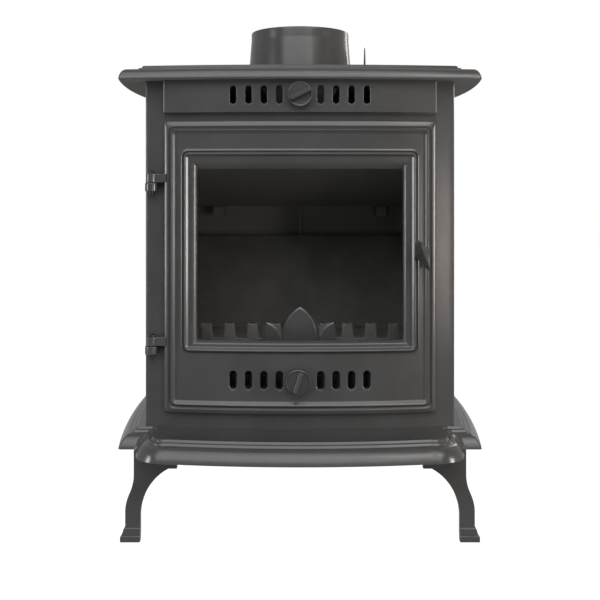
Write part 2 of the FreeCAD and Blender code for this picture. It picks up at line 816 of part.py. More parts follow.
def back_plate():
    low = base_top + panel_bead_inset
    high = body_top - panel_bead_inset
    bead_half = body_half - panel_bead_inset
    lug_z = baffle_rear_z - baffle_gap
    solids = [
        box(-body_half, body_half, back_inner, back_y, base_top, body_top),
        box(-back_liner_half, back_liner_half, back_liner_front, back_inner, floor_low, floor_top),
        box(-back_rib_half, back_rib_half, back_inner - back_rib_depth, back_inner, liner_top, back_rib_top),
        bead_frame(-bead_half, bead_half, back_y, back_y + panel_bead_height, low, high,
                   panel_bead_width, "Y")]
    for side in (-1, 1):
        x = baffle_lug_x * side
        solids.append(box(x - baffle_lug_half, x + baffle_lug_half, baffle_lug_front, back_inner,
                          lug_z - baffle_lug_height, lug_z))
    piece("back_plate", fuse(*solids))


def collar_bolt_places():
    step = collar_bolt_circle / root(as_size(2))
    return [(step * i, collar_y + step * j) for i in (-1, 1) for j in (-1, 1)]


def top_plate():
    """The bowed top with a round edge, a raised panel and a hollow underside."""
    points = [(plate_half, plate_rear), (-plate_half, plate_rear), (-plate_half, plate_front),
              (plate_half, plate_front)]
    arcs = {1: (plate_side_radius, True), 2: (arc_radius(top_front_sag, plate_half), True),
            3: (plate_side_radius, True)}
    slab = outline_pad("plan", points, arcs, top_rim_height, (zero, zero, body_top))
    rounded = fillet(slab, rim_round, lambda bounds: bounds.ZMin > rim_top.value - rim_round.value)
    half = plate_half - rim_inset
    front = plate_front + rim_inset
    rear = plate_rear - rim_inset
    points = [(half, rear), (-half, rear), (-half, front), (half, front)]
    side = plate_side_radius - rim_inset
    arcs = {1: (side, True), 2: (arc_radius(top_front_sag, half), True), 3: (side, True)}
    panel = outline_pad("plan", points, arcs, top_step_height, (zero, zero, rim_top))
    hollow_half = rod_x - top_hollow_inset
    hollow = box(-hollow_half, hollow_half, rod_front_y + top_hollow_lead, rod_rear_y - rim_inset,
                 body_top, body_top + top_hollow_depth)
    flue = cylinder(flue_radius, top_z - body_top, zero, collar_y, body_top)
    bolts = [cylinder(collar_bolt_radius + thread_clear, top_z - body_top, x, y, body_top)
             for x, y in collar_bolt_places()]
    piece("top_plate", cut(fuse(rounded, panel), hollow, flue, *bolts, *rod_holes(body_top, rod_bite)))


def flue_collar():
    """The tapered spigot that a 150 mm flue pipe slips over."""
    taper = doc.addObject("Part::Cone", "Taper")
    taper.setExpression("Radius1", collar_base_radius.text)
    taper.setExpression("Radius2", collar_top_radius.text)
    taper.setExpression("Height", (collar_height - collar_land).text)
    place(taper, zero, collar_y, top_z)
    land = cylinder(collar_top_radius, collar_land, zero, collar_y, collar_top - collar_land)
    bore = cylinder(flue_radius, collar_height, zero, collar_y, top_z)
    way = cylinder(damper_radius + damper_clear, collar_base_radius * 2, -collar_base_radius, collar_y,
                   top_z + damper_rise, "X")
    bites = [cylinder(collar_bolt_radius + thread_clear, collar_bolt_bite, x, y, top_z)
             for x, y in collar_bolt_places()]
    piece("flue_collar", cut(fuse(taper, land), bore, way, *bites))
    ceiling = body_top + top_hollow_depth
    bolts = []
    for x, y in collar_bolt_places():
        shank = cylinder(collar_bolt_radius, top_z + collar_bolt_bite - ceiling, x, y, ceiling)
        bolts.append(fuse(shank, cylinder(bolt_head_radius, bolt_head, x, y, ceiling - bolt_head)))
    piece("collar_bolts", group(*bolts))


def damper():
    """A butterfly plate in the collar, turned by a lever outside it; upright is open."""
    z = top_z + damper_rise
    left = -collar_base_radius - damper_stub
    lever_out = lever_x + lever_wall
    bore = damper_radius + thread_clear
    piece("damper_spindle", cylinder(damper_radius, lever_out - left, left, collar_y, z, "X"))
    disc = cylinder(flue_radius - vane_clear, vane_wall, zero, collar_y - vane_wall / 2, z, "Y")
    band = box(-flue_radius, flue_radius, collar_y - vane_wall, collar_y + vane_wall,
               z - vane_half, z + vane_half)
    boss = cylinder(vane_boss_radius, vane_boss_half * 2, -vane_boss_half, collar_y, z, "X")
    way = cylinder(bore, flue_radius * 2, -flue_radius, collar_y, z, "X")
    piece("damper_vane", cut(fuse(common(disc, band), boss), way))
    middle = lever_x + lever_wall / 2
    tip = lever_tip / 2
    top = z + lever_length
    points = [(lever_x, z), (lever_out, z), (middle + tip, top), (middle - tip, top)]
    blade = outline_pad("front", points, {}, lever_width, (zero, collar_y + lever_width / 2, zero))
    hub = cylinder(lever_hub, lever_wall, lever_x, collar_y, z, "X")
    piece("damper_lever", cut(fuse(blade, hub), cylinder(bore, lever_wall, lever_x, collar_y, z, "X")))


def firebox():
    floor_half = side_inner - liner_play
    seat = floor_low + floor_wall / 2
    plate = box(-floor_half, floor_half, floor_front, floor_rear, floor_low, floor_top)
    way = box(grate_ledge - grate_half_x, grate_half_x - grate_ledge, grate_front + grate_ledge,
              grate_rear - grate_ledge, floor_low, floor_top)
    recess = box(-grate_half_x, grate_half_x, grate_front, grate_rear, seat, floor_top)
    piece("firebox_floor", cut(plate, way, recess))
    half = grate_half_x - grate_play
    grid = box(-half, half, grate_front + grate_play, grate_rear - grate_play, seat, floor_top)
    pitch = grate_slot + grate_bar
    first = grate_front + grate_play + grate_bar
    count = int((grate_rear - grate_play - grate_bar - first).value // pitch.value)
    starts = [first + pitch * number for number in range(count)]
    bar_end = half - grate_bar
    gaps = [box(-bar_end, bar_end, start, start + grate_slot, seat, floor_top) for start in starts]
    piece("grate", cut(grid, *gaps))
    piece("back_liner", box(-back_liner_half, back_liner_half, back_liner_front,
                            back_liner_front + liner_wall, floor_top, liner_top))
    liner = box(floor_half - liner_wall, floor_half, floor_front, floor_rear, floor_top, side_liner_top)
    piece("side_liner_right", liner)
    piece("side_liner_left", mirror(liner, (1, 0, 0)))
    front_y = baffle_rear_y - baffle_run
    front_z = baffle_rear_z + baffle_rise
    points = [(front_y, front_z), (baffle_rear_y, baffle_rear_z),
              (baffle_rear_y, baffle_rear_z + baffle_wall), (front_y, front_z + baffle_wall)]
    piece("baffle_plate", outline_pad("side", points, {}, baffle_half * 2, (-baffle_half, zero, zero)))


def log_fence():
    """The low fence behind the glass: tapered teeth, and a pointed petal between two leaning leaves."""
    tip_z = fence_bar + tooth_rise
    tooth_first = petal_half + petal_gap + tooth_base
    tooth_out = tooth_first + tooth_tip
    leaf_tip_half = tooth_out + leaf_reach
    leaf_half = leaf_tip_half + leaf_lean
    tooth_pitch = leaf_half + leaf_gap + tooth_base - tooth_first
    right = [(fence_half, fence_bar)]
    for number in (3, 2, 1):
        x = tooth_first + tooth_pitch * number
        right += [(x + tooth_base, fence_bar), (x + tooth_tip, tip_z), (x - tooth_tip, tip_z),
                  (x - tooth_base, fence_bar)]
    leaf = 2 + len(right)
    right += [(leaf_half, fence_bar), (leaf_tip_half, fence_bar + leaf_rise), (tooth_out, tip_z - leaf_dip),
              (tooth_out, tip_z), (tooth_first - tooth_tip, tip_z), (tooth_first - tooth_base, fence_bar),
              (petal_half, fence_bar)]
    left = [(-x, z) for x, z in reversed(right)]
    points = [(-fence_half, zero), (fence_half, zero)] + right + [(zero, fence_bar + petal_rise)] + left
    petal = 1 + len(right)
    other_leaf = 2 * petal + 1 - leaf
    arcs = {leaf: (leaf_radius, True), petal: (petal_radius, True), petal + 1: (petal_radius, True),
            other_leaf: (leaf_radius, True)}
    piece("log_fence", outline_pad("front", points, arcs, fence_wall, (zero, fence_y, floor_top)))


def ash_pan():
    top = pan_low + pan_height
    pan = box(-pan_half, pan_half, pan_front, pan_rear, pan_low, top)
    inside = box(pan_wall - pan_half, pan_half - pan_wall, pan_front + pan_wall, pan_rear - pan_wall,
                 pan_low + pan_wall, top)
    piece("ash_pan", cut(pan, inside))
    half = runner_width / 2
    runner = box(runner_x - half, runner_x + half, pan_front, pan_rear, base_top, pan_low)
    piece("ash_runner_right", runner)
    piece("ash_runner_left", mirror(runner, (1, 0, 0)))


def clip_places():
    edge_low = window_low - glass_lap
    edge_top = window_top + glass_lap
    return [("top_right", clip_x, edge_top, 1), ("top_left", -clip_x, edge_top, 1),
            ("bottom_right", clip_x, edge_low, -1), ("bottom_left", -clip_x, edge_low, -1)]


def clip_screw(x, edge, way):
    """Height of a clip's screw, and where its shank starts and its head seats."""
    clip_back = door_inner - gasket_wall - glass_wall - clip_wall
    start = bow_depth(door_inner, x) - screw_bite
    seat = bow_depth(clip_back, x) + screw_seat
    return edge + clip_foot * way / 2, start, seat


def clip_screw_holes():
    holes = []
    for name, x, edge, way in clip_places():
        z, start, seat = clip_screw(x, edge, way)
        holes.append(cylinder(screw_radius + thread_clear, seat - start, x, start, z, "Y"))
    return holes


def door():
    crest = door_outer + bead_height
    solids = [shell(door_half, door_low, door_top, door_inner, door_outer),
              ring(outer_bead_half, outer_bead_low, outer_bead_top, bead_width, door_inner, crest),
              ring(window_bead_half, window_bead_low, window_bead_top, bead_width, door_inner, crest),
              cylinder(boss_radius, boss_stand + boss_sink, handle_x, boss_front, handle_z, "Y")]
    bores = []
    for name, knuckle in hinge_levels():
        low = knuckle + knuckle_height + lug_gap
        solids.append(cylinder(lug_radius, lug_height, hinge_x, hinge_y, low))
        solids.append(box(hinge_x, bead_width - door_half, hinge_y - lug_half_depth, hinge_y + lug_half_depth,
                          low, low + lug_height))
        bores.append(cylinder(pin_radius + hinge_clear, lug_height, hinge_x, hinge_y, low))
        shank_low = knuckle - pin_tail
        head_low = low + lug_height
        shank = cylinder(pin_radius, head_low - shank_low, hinge_x, hinge_y, shank_low)
        head = cylinder(pin_head_radius, pin_head, hinge_x, hinge_y, head_low)
        piece("hinge_pin_" + name, fuse(shank, head))
    window = box(-window_half, window_half, lip_front, zero, window_low, window_top)
    spindle_way = cylinder(spindle_radius + spindle_clear, -lip_front, handle_x, lip_front, handle_z, "Y")
    seal_low = door_low + seal_margin
    seal_top = door_top - seal_margin
    groove = ring(seal_half, seal_low, seal_top, seal_width, door_inner - seal_proud, door_inner + seal_depth)
    cuts = [window, spindle_way, groove, stud_slot(lower_slot_z)] + slots(lower_slot_z, zero) + bores
    piece("door_frame", cut(fuse(*solids), *cuts, *clip_screw_holes()))
    piece("door_rope_seal", ring(seal_half, seal_low, seal_top, seal_width, door_inner - seal_proud,
                                 door_inner + seal_depth))
    glass_half = window_half + glass_lap
    glass_low = window_low - glass_lap
    glass_top = window_top + glass_lap
    glass_front = door_inner - gasket_wall
    glass_back = glass_front - glass_wall
    piece("door_glass", shell(glass_half, glass_low, glass_top, glass_back, glass_front))
    piece("glass_gasket", ring(glass_half, glass_low, glass_top, gasket_width, glass_front, door_inner))
    screws = []
    holes = clip_screw_holes()
    for (name, x, edge, way), hole in zip(clip_places(), holes):
        ends = [edge + clip_foot * way, edge - clip_lap * way]
        low, high = ends if way < 0 else reversed(ends)
        room = [edge + clip_play * way, edge - (clip_lap + clip_play) * way]
        room_low, room_high = room if way < 0 else reversed(room)
        half = clip_width / 2
        block = common(box(x - half, x + half, lip_front, zero, low, high), bow(door_inner))
        glass_room = cut(box(x - clip_width, x + clip_width, lip_front, zero, room_low, room_high),
                         bow(glass_back))
        piece("glass_clip_" + name, cut(cut(block, bow(glass_back - clip_wall)), glass_room, hole))
        z, start, seat = clip_screw(x, edge, way)
        shank = cylinder(screw_radius, seat - start, x, start, z, "Y")
        screws.append(fuse(shank, cylinder(screw_head_radius, screw_head, x, seat, z, "Y")))
    piece("glass_clip_screws", group(*screws))


def turned(obj, angle, x, y, z):
    """Turns a piece about its own Y axis, right end up, and moves it into place."""
    obj.Placement.Rotation = FreeCAD.Rotation(FreeCAD.Vector(0, -1, 0), angle.value)
    obj.setExpression("Placement.Rotation.Angle", angle.text)
    return place(obj, x, y, z)


def air_control(name, base, height, rest, angle):
    """A slotted shutter behind a bowed panel, its two guides, its stud and its clamping knob."""
    outer = base - shutter_gap
    inner = outer - shutter_wall
    lip_outer = inner - shutter_gap
    rail_inner = lip_outer - rail_wall
    half = shutter_height / 2
    plate = box(rest - shutter_half, rest + shutter_half, lip_front, zero, height - half, height + half)
    plate = cut(common(plate, bow(outer)), bow(inner))
    bore = cylinder(stud_radius + thread_clear, -lip_front, rest, lip_front, height, "Y")
    piece(name + "_shutter", cut(plate, bore, *slots(height, rest)))
    for label, way in (("top", 1), ("bottom", -1)):
        levels = [height + (half - rail_lip) * way, height + (half + shutter_play) * way,
                  height + (half + shutter_play + rail_wall) * way]
        lip, web, edge = levels
        whole = sorted((lip, edge), key=lambda level: level.value)
        notch = sorted((lip, web), key=lambda level: level.value)
        bar = shell(rail_half, whole[0], whole[1], rail_inner, base)
        room = cut(box(-vent_opening_half, vent_opening_half, lip_front, zero, notch[0], notch[1]),
                   bow(lip_outer))
        piece("%s_guide_%s" % (name, label), cut(bar, room))
    back = bow_y - inner + stud_seat
    knob_back = bow_y - door_outer - knob_stand
    stud_front = knob_back - knob_seat
    shank = cylinder(stud_radius, back - stud_front, rest, stud_front, height, "Y")
    piece(name + "_knob_stud", fuse(shank, cylinder(stud_head_radius, stud_head, rest, back, height, "Y")))
    disc = cylinder(knob_radius, knob_wall, zero, -knob_wall, zero, "Y")
    bar_half = knob_bar_length / 2
    bar_thick = knob_bar_width / 2
    grip = box(-bar_half, bar_half, -knob_wall - knob_bar_depth, -knob_wall, -bar_thick, bar_thick)
    socket_depth = knob_seat + knob_clear
    socket = cylinder(stud_radius + knob_clear, socket_depth, zero, -socket_depth, zero, "Y")
    piece(name + "_knob", turned(cut(fuse(disc, grip), socket), angle, rest, knob_back, height))


def door_latch():
    """A ridged lever on a spindle that turns a tongue behind the frame; shown released."""
    half = handle_width / 2
    ridge = -handle_depth
    points = [(half, zero), (-half, zero), (-half, -handle_side_depth), (zero, ridge),
              (half, -handle_side_depth)]
    lever = outline_pad("plan", points, {}, handle_length, (zero, zero, -handle_length / 2))
    socket = cylinder(spindle_radius + thread_clear, handle_socket, zero, -handle_socket, zero, "Y")
    lever_y = boss_front - handle_gap
    piece("handle_lever", turned(cut(lever, socket), handle_lean, handle_x, lever_y, handle_z))
    tongue_y = keeper_back_y + tongue_gap
    spindle_front = lever_y - handle_socket + thread_clear
    tongue_back = tongue_y + tongue_wall
    piece("handle_spindle", cylinder(spindle_radius, tongue_back - spindle_front, handle_x, spindle_front,
                                     handle_z, "Y"))
    half = tongue_width / 2
    blade = box(handle_x - half, handle_x + half, tongue_y, tongue_back, handle_z - tongue_length, handle_z)
    tongue = fuse(blade, cylinder(spindle_radius * 2, tongue_wall, handle_x, tongue_y, handle_z, "Y"))
    bore = cylinder(spindle_radius + thread_clear, tongue_wall, handle_x, tongue_y, handle_z, "Y")
    piece("latch_tongue", cut(tongue, bore))
    keeper_x = handle_x + notch_half + keeper_inset
    block = box(keeper_x, keeper_x + keeper_width, front_y, keeper_back_y,
                handle_z - keeper_height / 2, handle_z + keeper_height / 2)
    piece("latch_keeper", common(block, bow(bow_radius - frame_wall)))


base_plate()
legs()
tie_rods()
front_frame()
vent_panel()
side_plates()
back_plate()
top_plate()
flue_collar()
damper()
firebox()
log_fence()
ash_pan()
door()
air_control("upper", bow_radius, upper_slot_z, upper_rest, upper_bar_angle)
air_control("lower", door_inner, lower_slot_z, lower_rest, lower_bar_angle)
door_latch()
doc.recompute()

# Every object must have rebuilt, and every piece must be a sound solid
for obj in doc.Objects:
    if "Invalid" in obj.State or "Error" in obj.State:
        raise RuntimeError("%s did not rebuild" % obj.Label)
for label, obj in pieces.items():
    if obj.Shape.isNull() or not obj.Shape.isValid() or not obj.Shape.Solids:
        raise RuntimeError("%s has no sound shape" % label)

os.makedirs("parts", exist_ok=True)
for label, obj in pieces.items():
    obj.Shape.exportStep(os.path.join("parts", label + ".step"))
print(len(pieces), "pieces")
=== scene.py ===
"""Cast iron stove: castings, fittings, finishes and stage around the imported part."""
from math import asin, atan2, cos, hypot, pi, radians, sin, sqrt

import bmesh
import bpy
from mathutils import Matrix, Vector
from mathutils.kdtree import KDTree


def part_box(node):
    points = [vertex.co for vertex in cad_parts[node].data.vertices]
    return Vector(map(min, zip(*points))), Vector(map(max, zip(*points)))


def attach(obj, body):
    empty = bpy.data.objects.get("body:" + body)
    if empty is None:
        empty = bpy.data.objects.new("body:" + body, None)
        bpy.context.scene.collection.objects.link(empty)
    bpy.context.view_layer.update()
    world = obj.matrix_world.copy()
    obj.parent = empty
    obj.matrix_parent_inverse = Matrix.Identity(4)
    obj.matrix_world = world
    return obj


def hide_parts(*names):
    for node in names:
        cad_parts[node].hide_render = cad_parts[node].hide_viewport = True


bl_info = {
    "name": "Cast iron stove",
    "version": (1, 0, 0),
    "blender": (4, 5, 0),
    "location": "View3D > Sidebar > Stove",
    "description": "Models the castings, fittings and finishes of a small cast iron stove",
    "category": "Add Mesh",
}

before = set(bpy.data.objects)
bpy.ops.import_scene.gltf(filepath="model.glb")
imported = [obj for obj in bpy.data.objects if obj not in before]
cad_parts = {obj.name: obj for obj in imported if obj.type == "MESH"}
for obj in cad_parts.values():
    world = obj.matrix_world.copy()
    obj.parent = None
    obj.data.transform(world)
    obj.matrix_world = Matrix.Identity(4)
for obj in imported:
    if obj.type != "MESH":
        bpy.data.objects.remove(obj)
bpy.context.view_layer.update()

MM = 0.001
WELD_MM = 0.02

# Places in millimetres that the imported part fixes
BOW_Y = 1160.0
FRAME_FACE = 1300.0
DOOR_BACK = 1300.5
DOOR_FACE = 1310.0
DOOR_HALF = 180.0
DOOR_LOW = 160.0
DOOR_TOP = 545.0
WINDOW_HALF = 135.0
WINDOW_LOW = 257.0
WINDOW_TOP = 482.0
BODY_HALF = 205.0
BODY_BACK = 200.0
BODY_TOP = 598.0
BASE_TOP = 141.0
TOP_Z = 619.0
PANEL_LOW = 555.0
PLATE_HALF = 237.0
PLATE_FRONT = -148.03
PLATE_REAR = 222.0
PLATE_SIDE_RADIUS = 1322.0
PLATE_TIP = 2.5
LIP_HALF = 209.0
LEG_TOP = 116.0
LEG_SIDE_X = 216.0
LEG_FRONT_Y = -150.03
LEG_REAR_Y = 205.0
LEG_FLANGE = 56.0
FLANGE_FRONT = -119.03
FLANGE_BACK = -108.03
SIDE_PLATE_REAR = 192.0
COLLAR_Y = 47.0
FLUE_BORE = 66.0
LEVER_X = 96.0
LEVER_Z = 633.0
HINGE_X = -196.0
HINGE_Y = -133.54
KNUCKLE_LEVELS = (237.5, 452.0)
KNUCKLE_HEIGHT = 11.0
SLOT_PLACES = [side * (26.7 + 20.2 * step) for side in (-1, 1) for step in range(4)]
LOWER_SLOT_Z = 206.0
UPPER_SLOT_Z = 578.0
KNOB_SEAT_Y = -153.5
HANDLE_X = 159.0
HANDLE_Y = -150.0
HANDLE_Z = 370.0
FENCE_HALF = 158.5
FENCE_FOOT = 223.0
FENCE_BAR_TOP = 250.0
TOOTH_TOP = 270.6
TOOTH_PLACES = (128.8, 97.2, 65.4, 33.6)
FENCE_BACK = -78.03
FENCE_FACE = -81.4
PETAL_BACK = -81.0
PETAL_FACE = -84.03

# Boxes in millimetres that are cut from castings or join them, by their low and high corners
HEARTH_HOLLOWS = (((-195, -88, 100), (195, 143, 132)), ((-150, -170, 100), (150, 205, 132)))
TOP_HOLLOW = ((-165, -95, 580), (165, 164, 605))
DOORWAY = ((-150, -220, 174), (150, 0, 520))
LATCH_WAY = ((138, -220, 338), (171, 0, 402))
FLOOR_RAIL = ((185, -94, 205), (198.5, 176, 215))
LINER_LEDGE = ((-170, 179, 215), (170, 193.5, 223))
LINER_RIB = ((-4, 186, 375), (4, 193.5, 418))
BAFFLE_LUGS = [((x - 9, 152, 407.7), (x + 9, 193.5, 423.7)) for x in (-133, 133)]

# How dim and how pale the room looks in a sheen, from in front of the stove to behind it
ROOM_DIM_SHARE = 0.12
ROOM_PALE_SHARE = 0.5


def linear(value):
    """An sRGB hex colour as linear red, green, blue and alpha."""
    shares = [int(value[place:place + 2], 16) / 255 for place in (1, 3, 5)]
    return [s / 12.92 if s <= 0.04045 else ((s + 0.055) / 1.055) ** 2.4 for s in shares] + [1.0]


def length(label, words, millimetres):
    return bpy.props.FloatProperty(name=label, description=words, default=millimetres * MM, min=0.0,
                                   subtype="DISTANCE", unit="LENGTH", precision=4)


def colour(label, words, value):
    return bpy.props.FloatVectorProperty(name=label, description=words, default=linear(value), size=4,
                                         min=0.0, max=1.0, subtype="COLOR")


class StoveSizes(bpy.types.PropertyGroup):
    """Sizes of the castings' edges and mouldings."""

    top_roll: length("Top roll", "How far the top plate's rim rolls in", 9.5)
    hearth_roll: length("Hearth roll", "How far the hearth plate's rim rolls in", 18)
    top_rim: length("Top rim", "Width of the top plate's rim", 21.5)
    hearth_rim: length("Hearth rim", "Width of the hearth plate's rim", 15.5)
    rim_step: length("Rim step", "Height of the step from a plate's rim to its raised middle", 6.8)
    bead_proud: length("Bead height", "How far the door's beads stand proud of its face", 2.2)
    bead_groove: length("Bead groove", "Depth of the groove outside each bead", 2.2)
    field_sink: length("Field sink", "How far the door's field lies below its rim", 1.2)
    window_dip: length("Window slope", "How far the slope round the window falls to the glass", 5.8)
    lower_flare: length("Lower slot flare", "How far the round edge of a door slot spreads", 2.0)
    upper_flare: length("Upper slot flare", "How far the round edge of a panel slot spreads", 1.2)
    soft_edge: length("Soft edge", "Radius of a casting's plain edges", 1.2)
    grip_width: length("Grip width", "Width of the bar across an air knob", 7.0)
    tooth_hollow: length("Tooth hollow", "How far the log fence's tooth tips are hollowed", 1.8)


class StoveColours(bpy.types.PropertyGroup):
    """Colours of the finishes."""

    iron: colour("Stove paint", "Satin graphite paint on the castings", "#393939")
    iron_worn: colour("Stove paint, thin", "The paint where it lies thin", "#3f3f3f")
    firebox: colour("Burnt iron", "Unpainted iron inside the firebox", "#555452")
    firebox_ash: colour("Burnt iron, ashy", "The iron where ash dust lies", "#646360")
    # Painted shade: the firebox's front, round the log fence, is painted darker than the plates behind,
    # which the lamps reach less.
    firebox_front_painted_dark: colour("Burnt iron, clean", "The iron that the door's air keeps clean", "#3e3d3c")
    # Painted light: the iron above the liner's top edge is painted lighter, to lift the dim upper firebox.
    upper_painted_light: colour("Soot", "The iron above the fire, where soot lies", "#787673")
    steel: colour("Blackened steel", "Pins, rods, nuts and shutters", "#161616")
    steel_rub: colour("Blackened steel, rubbed", "The steel where it is handled", "#2c2b2a")
    sheet: colour("Sheet steel", "Ash pan and its runners", "#6d6c69")
    sheet_dull: colour("Sheet steel, dull", "The sheet where heat has dulled it", "#4d4b48")
    rope: colour("Fibre rope", "Door rope and glass gasket", "#2d2c2a")
    rope_fray: colour("Fibre rope, frayed", "Loose fibres on the rope", "#4a4845")
    glass: colour("Glass", "The door's glass", "#f4f7f6")
    floor: colour("Floor", "The plain floor below the stove", "#ffffff")
    floor_paper: colour("Floor, in shade", "The floor's own colour, which keeps the shadow", "#6c6c6c")


def sizes():
    return bpy.context.scene.stove_sizes


def colours():
    return bpy.context.scene.stove_colours


# Points

def bow_y(radius, x):
    """Depth of the bowed front at a radius from the bow's axis."""
    return BOW_Y - sqrt(radius * radius - x * x)


def arc(start, end, radius, hollow, count):
    """Points from start to just before end, on an arc that swells out, or in where it is hollow."""
    (ax, ay), (bx, by) = start, end
    span = hypot(bx - ax, by - ay)
    rise = sqrt(max(radius * radius - span * span / 4, 0.0)) * (-1 if hollow else 1)
    cx = (ax + bx) / 2 - (by - ay) / span * rise
    cy = (ay + by) / 2 + (bx - ax) / span * rise
    first = atan2(ay - cy, ax - cx)
    sweep = 2 * asin(min(span / 2 / radius, 1.0)) * (-1 if hollow else 1)
    return [(cx + radius * cos(first + sweep * step / count),
             cy + radius * sin(first + sweep * step / count)) for step in range(count)]


def rise_radius(rise, run):
    return (rise * rise + run * run) / (2 * rise)


def whole_outline(right, half, front_y, rise, count):
    """A whole outline from its right half, front to rear, and a front that bows out between two points."""
    front = arc((-half, front_y), (half, front_y), rise_radius(rise, half), False, count)[1:]
    return right + [(-x, y) for x, y in reversed(right)] + front


def plate_side(inset):
    """A plate's right edge drawn in by an inset, front to rear: a swelling side between two round tips."""
    side_x = PLATE_HALF - inset
    front_y = PLATE_FRONT + inset
    rear_y = PLATE_REAR - inset
    tip = PLATE_TIP
    side = arc((side_x - tip, front_y), (side_x, front_y + tip), tip, False, 4)
    side += arc((side_x, front_y + tip), (side_x, rear_y - tip), PLATE_SIDE_RADIUS - inset, False, 28)
    side += arc((side_x, rear_y - tip), (side_x - tip, rear_y), tip, False, 4)
    return side + [(side_x - tip, rear_y)]


def hearth_outline(inset):
    """The hearth plate's outline drawn in by an inset: bowed lip, ears and swelling sides."""
    lip_x = LIP_HALF - inset
    ear_y = PLATE_FRONT + inset
    bow_half = 164.0
    bow_side_y = -210 + inset
    corner_y = PLATE_FRONT - 23
    corner = rise_radius(lip_x - bow_half, corner_y - bow_side_y)
    right = arc((bow_half, bow_side_y), (lip_x, corner_y), corner, False, 14)
    right += [(lip_x, corner_y)]
    right += arc((lip_x, ear_y - 9), (lip_x + 9, ear_y), 9, True, 8)
    right += [(lip_x + 9, ear_y)] + plate_side(inset)
    return whole_outline(right, bow_half, bow_side_y, 12, 40)


def top_outline(inset):
    """The top plate's outline drawn in by an inset: bowed front and swelling sides."""
    bow_half = PLATE_HALF - inset - PLATE_TIP
    return whole_outline(plate_side(inset), bow_half, PLATE_FRONT + inset, 15, 48)


def round_rectangle(half, low, top, corner, across=28, up=16, bend=5):
    """Points of a round-cornered upright rectangle, the same number whatever its size."""
    corner = max(corner, 0.2)
    points = []
    corners = ((half - corner, low + corner, -90), (half - corner, top - corner, 0),
               (corner - half, top - corner, 90), (corner - half, low + corner, 180))
    spans = (up, across, up, across)
    for number, (cx, cz, start) in enumerate(corners):
        turn = [radians(start + 90 * step / bend) for step in range(bend + 1)]
        points += [(cx + corner * cos(a), cz + corner * sin(a)) for a in turn]
        nx, nz, after = corners[(number + 1) % 4]
        first = points[-1]
        last = (nx + corner * cos(radians(after)), nz + corner * sin(radians(after)))
        points += [(first[0] + (last[0] - first[0]) * step / spans[number],
                    first[1] + (last[1] - first[1]) * step / spans[number])
                   for step in range(1, spans[number])]
    return points


def on_bow(points, radius):
    return [(x, bow_y(radius, x), z) for x, z in points]


def across_bow(radius, half):
    """Points in plan along the bowed front, from left to right."""
    return [(half * step / 30, bow_y(radius, half * step / 30)) for step in range(-30, 31)]


def shell_plan(face, back, right_end):
    """A bowed shell's plan: along its face, round its right end, along its back and round its left end."""
    return face + right_end + back[::-1] + [(-x, y) for x, y in reversed(right_end)]


def stadium(x, z, half_width, half_height, bend=10):
    """An upright slot's outline with round ends."""
    end = half_height - half_width
    turn = [pi * step / bend for step in range(bend + 1)]
    right_top = [(x + half_width * cos(a), z + end + half_width * sin(a)) for a in turn]
    left_low = [(2 * x - px, 2 * z - pz) for px, pz in right_top]
    return right_top + left_low


def drawn_in(points, inset):
    """A closed outline, drawn anticlockwise, with its sides moved in by an inset."""
    moved = []
    for number, here in enumerate(points):
        before = (Vector(here) - Vector(points[number - 1])).normalized()
        after = (Vector(points[(number + 1) % len(points)]) - Vector(here)).normalized()
        inward = (before + after).orthogonal().normalized()
        moved.append(tuple(Vector(here) + inward * inset / max(inward.dot(before.orthogonal()), 0.4)))
    return moved


def circle(radius, count):
    return [(radius * cos(2 * pi * step / count), radius * sin(2 * pi * step / count))
            for step in range(count)]


# Modelling

def select_only(obj):
    bpy.ops.object.select_all(action="DESELECT")
    bpy.context.view_layer.objects.active = obj
    obj.select_set(True)


def outline(name, points):
    """A closed line through points in millimetres, drawn with a circle's corners and left in edit mode."""
    bpy.ops.object.select_all(action="DESELECT")
    bpy.ops.mesh.primitive_circle_add(vertices=len(points), fill_type="NOTHING")
    obj = bpy.context.object
    obj.name = name
    for vertex, point in zip(obj.data.vertices, points):
        vertex.co = Vector(point) * MM
    bpy.ops.object.mode_set(mode="EDIT")
    bpy.ops.mesh.select_all(action="SELECT")
    return obj


def close_up(welded):
    """Welds the points that meet, or fills the open ends, turns all faces out and leaves edit mode."""
    bpy.ops.mesh.select_all(action="SELECT")
    if welded:
        bpy.ops.mesh.remove_doubles(threshold=WELD_MM * MM)
    else:
        bpy.ops.mesh.fill_holes(sides=0)
    bpy.ops.mesh.normals_make_consistent(inside=False)
    bpy.ops.object.mode_set(mode="OBJECT")


def skin(name, rings, joined=False):
    """Extrudes a closed line through rings and fills its ends, or joins the last ring to the first."""
    obj = outline(name, rings[0])
    before = rings[0]
    for ring in rings[1:] + (rings[:1] if joined else []):
        bpy.ops.mesh.extrude_region_move()
        mesh = bmesh.from_edit_mesh(obj.data)
        tree = KDTree(len(before))
        for number, point in enumerate(before):
            tree.insert(Vector(point) * MM, number)
        tree.balance()
        for vertex in mesh.verts:
            if vertex.select:
                vertex.co = Vector(ring[tree.find(vertex.co)[1]]) * MM
        bmesh.update_edit_mesh(obj.data)
        before = ring
    close_up(joined)
    return obj


def turned(name, profile, centre, axis, steps=64):
    """Spins a profile of radius and height about an axis through a centre."""
    side = Vector((1, 0, 0)) if abs(axis[0]) < 0.5 else Vector((0, 1, 0))
    along = Vector(axis)
    obj = outline(name, [Vector(centre) + side * radius + along * height for radius, height in profile])
    bpy.ops.mesh.spin(steps=steps, angle=2 * pi, center=Vector(centre) * MM, axis=along)
    close_up(True)
    return obj


def barrel(name, radius, height, centre, axis, edge=((0.8, 0.0), (0.2, 0.3), (0.0, 0.9))):
    """A turned barrel with round ends; edge gives the steps in from its radius and along from its end."""
    low = [(radius - inset, along) for inset, along in edge]
    high = [(out, height - along) for out, along in reversed(low)]
    return turned(name, [(0, 0)] + low + high + [(0, height)], centre, axis, 40)


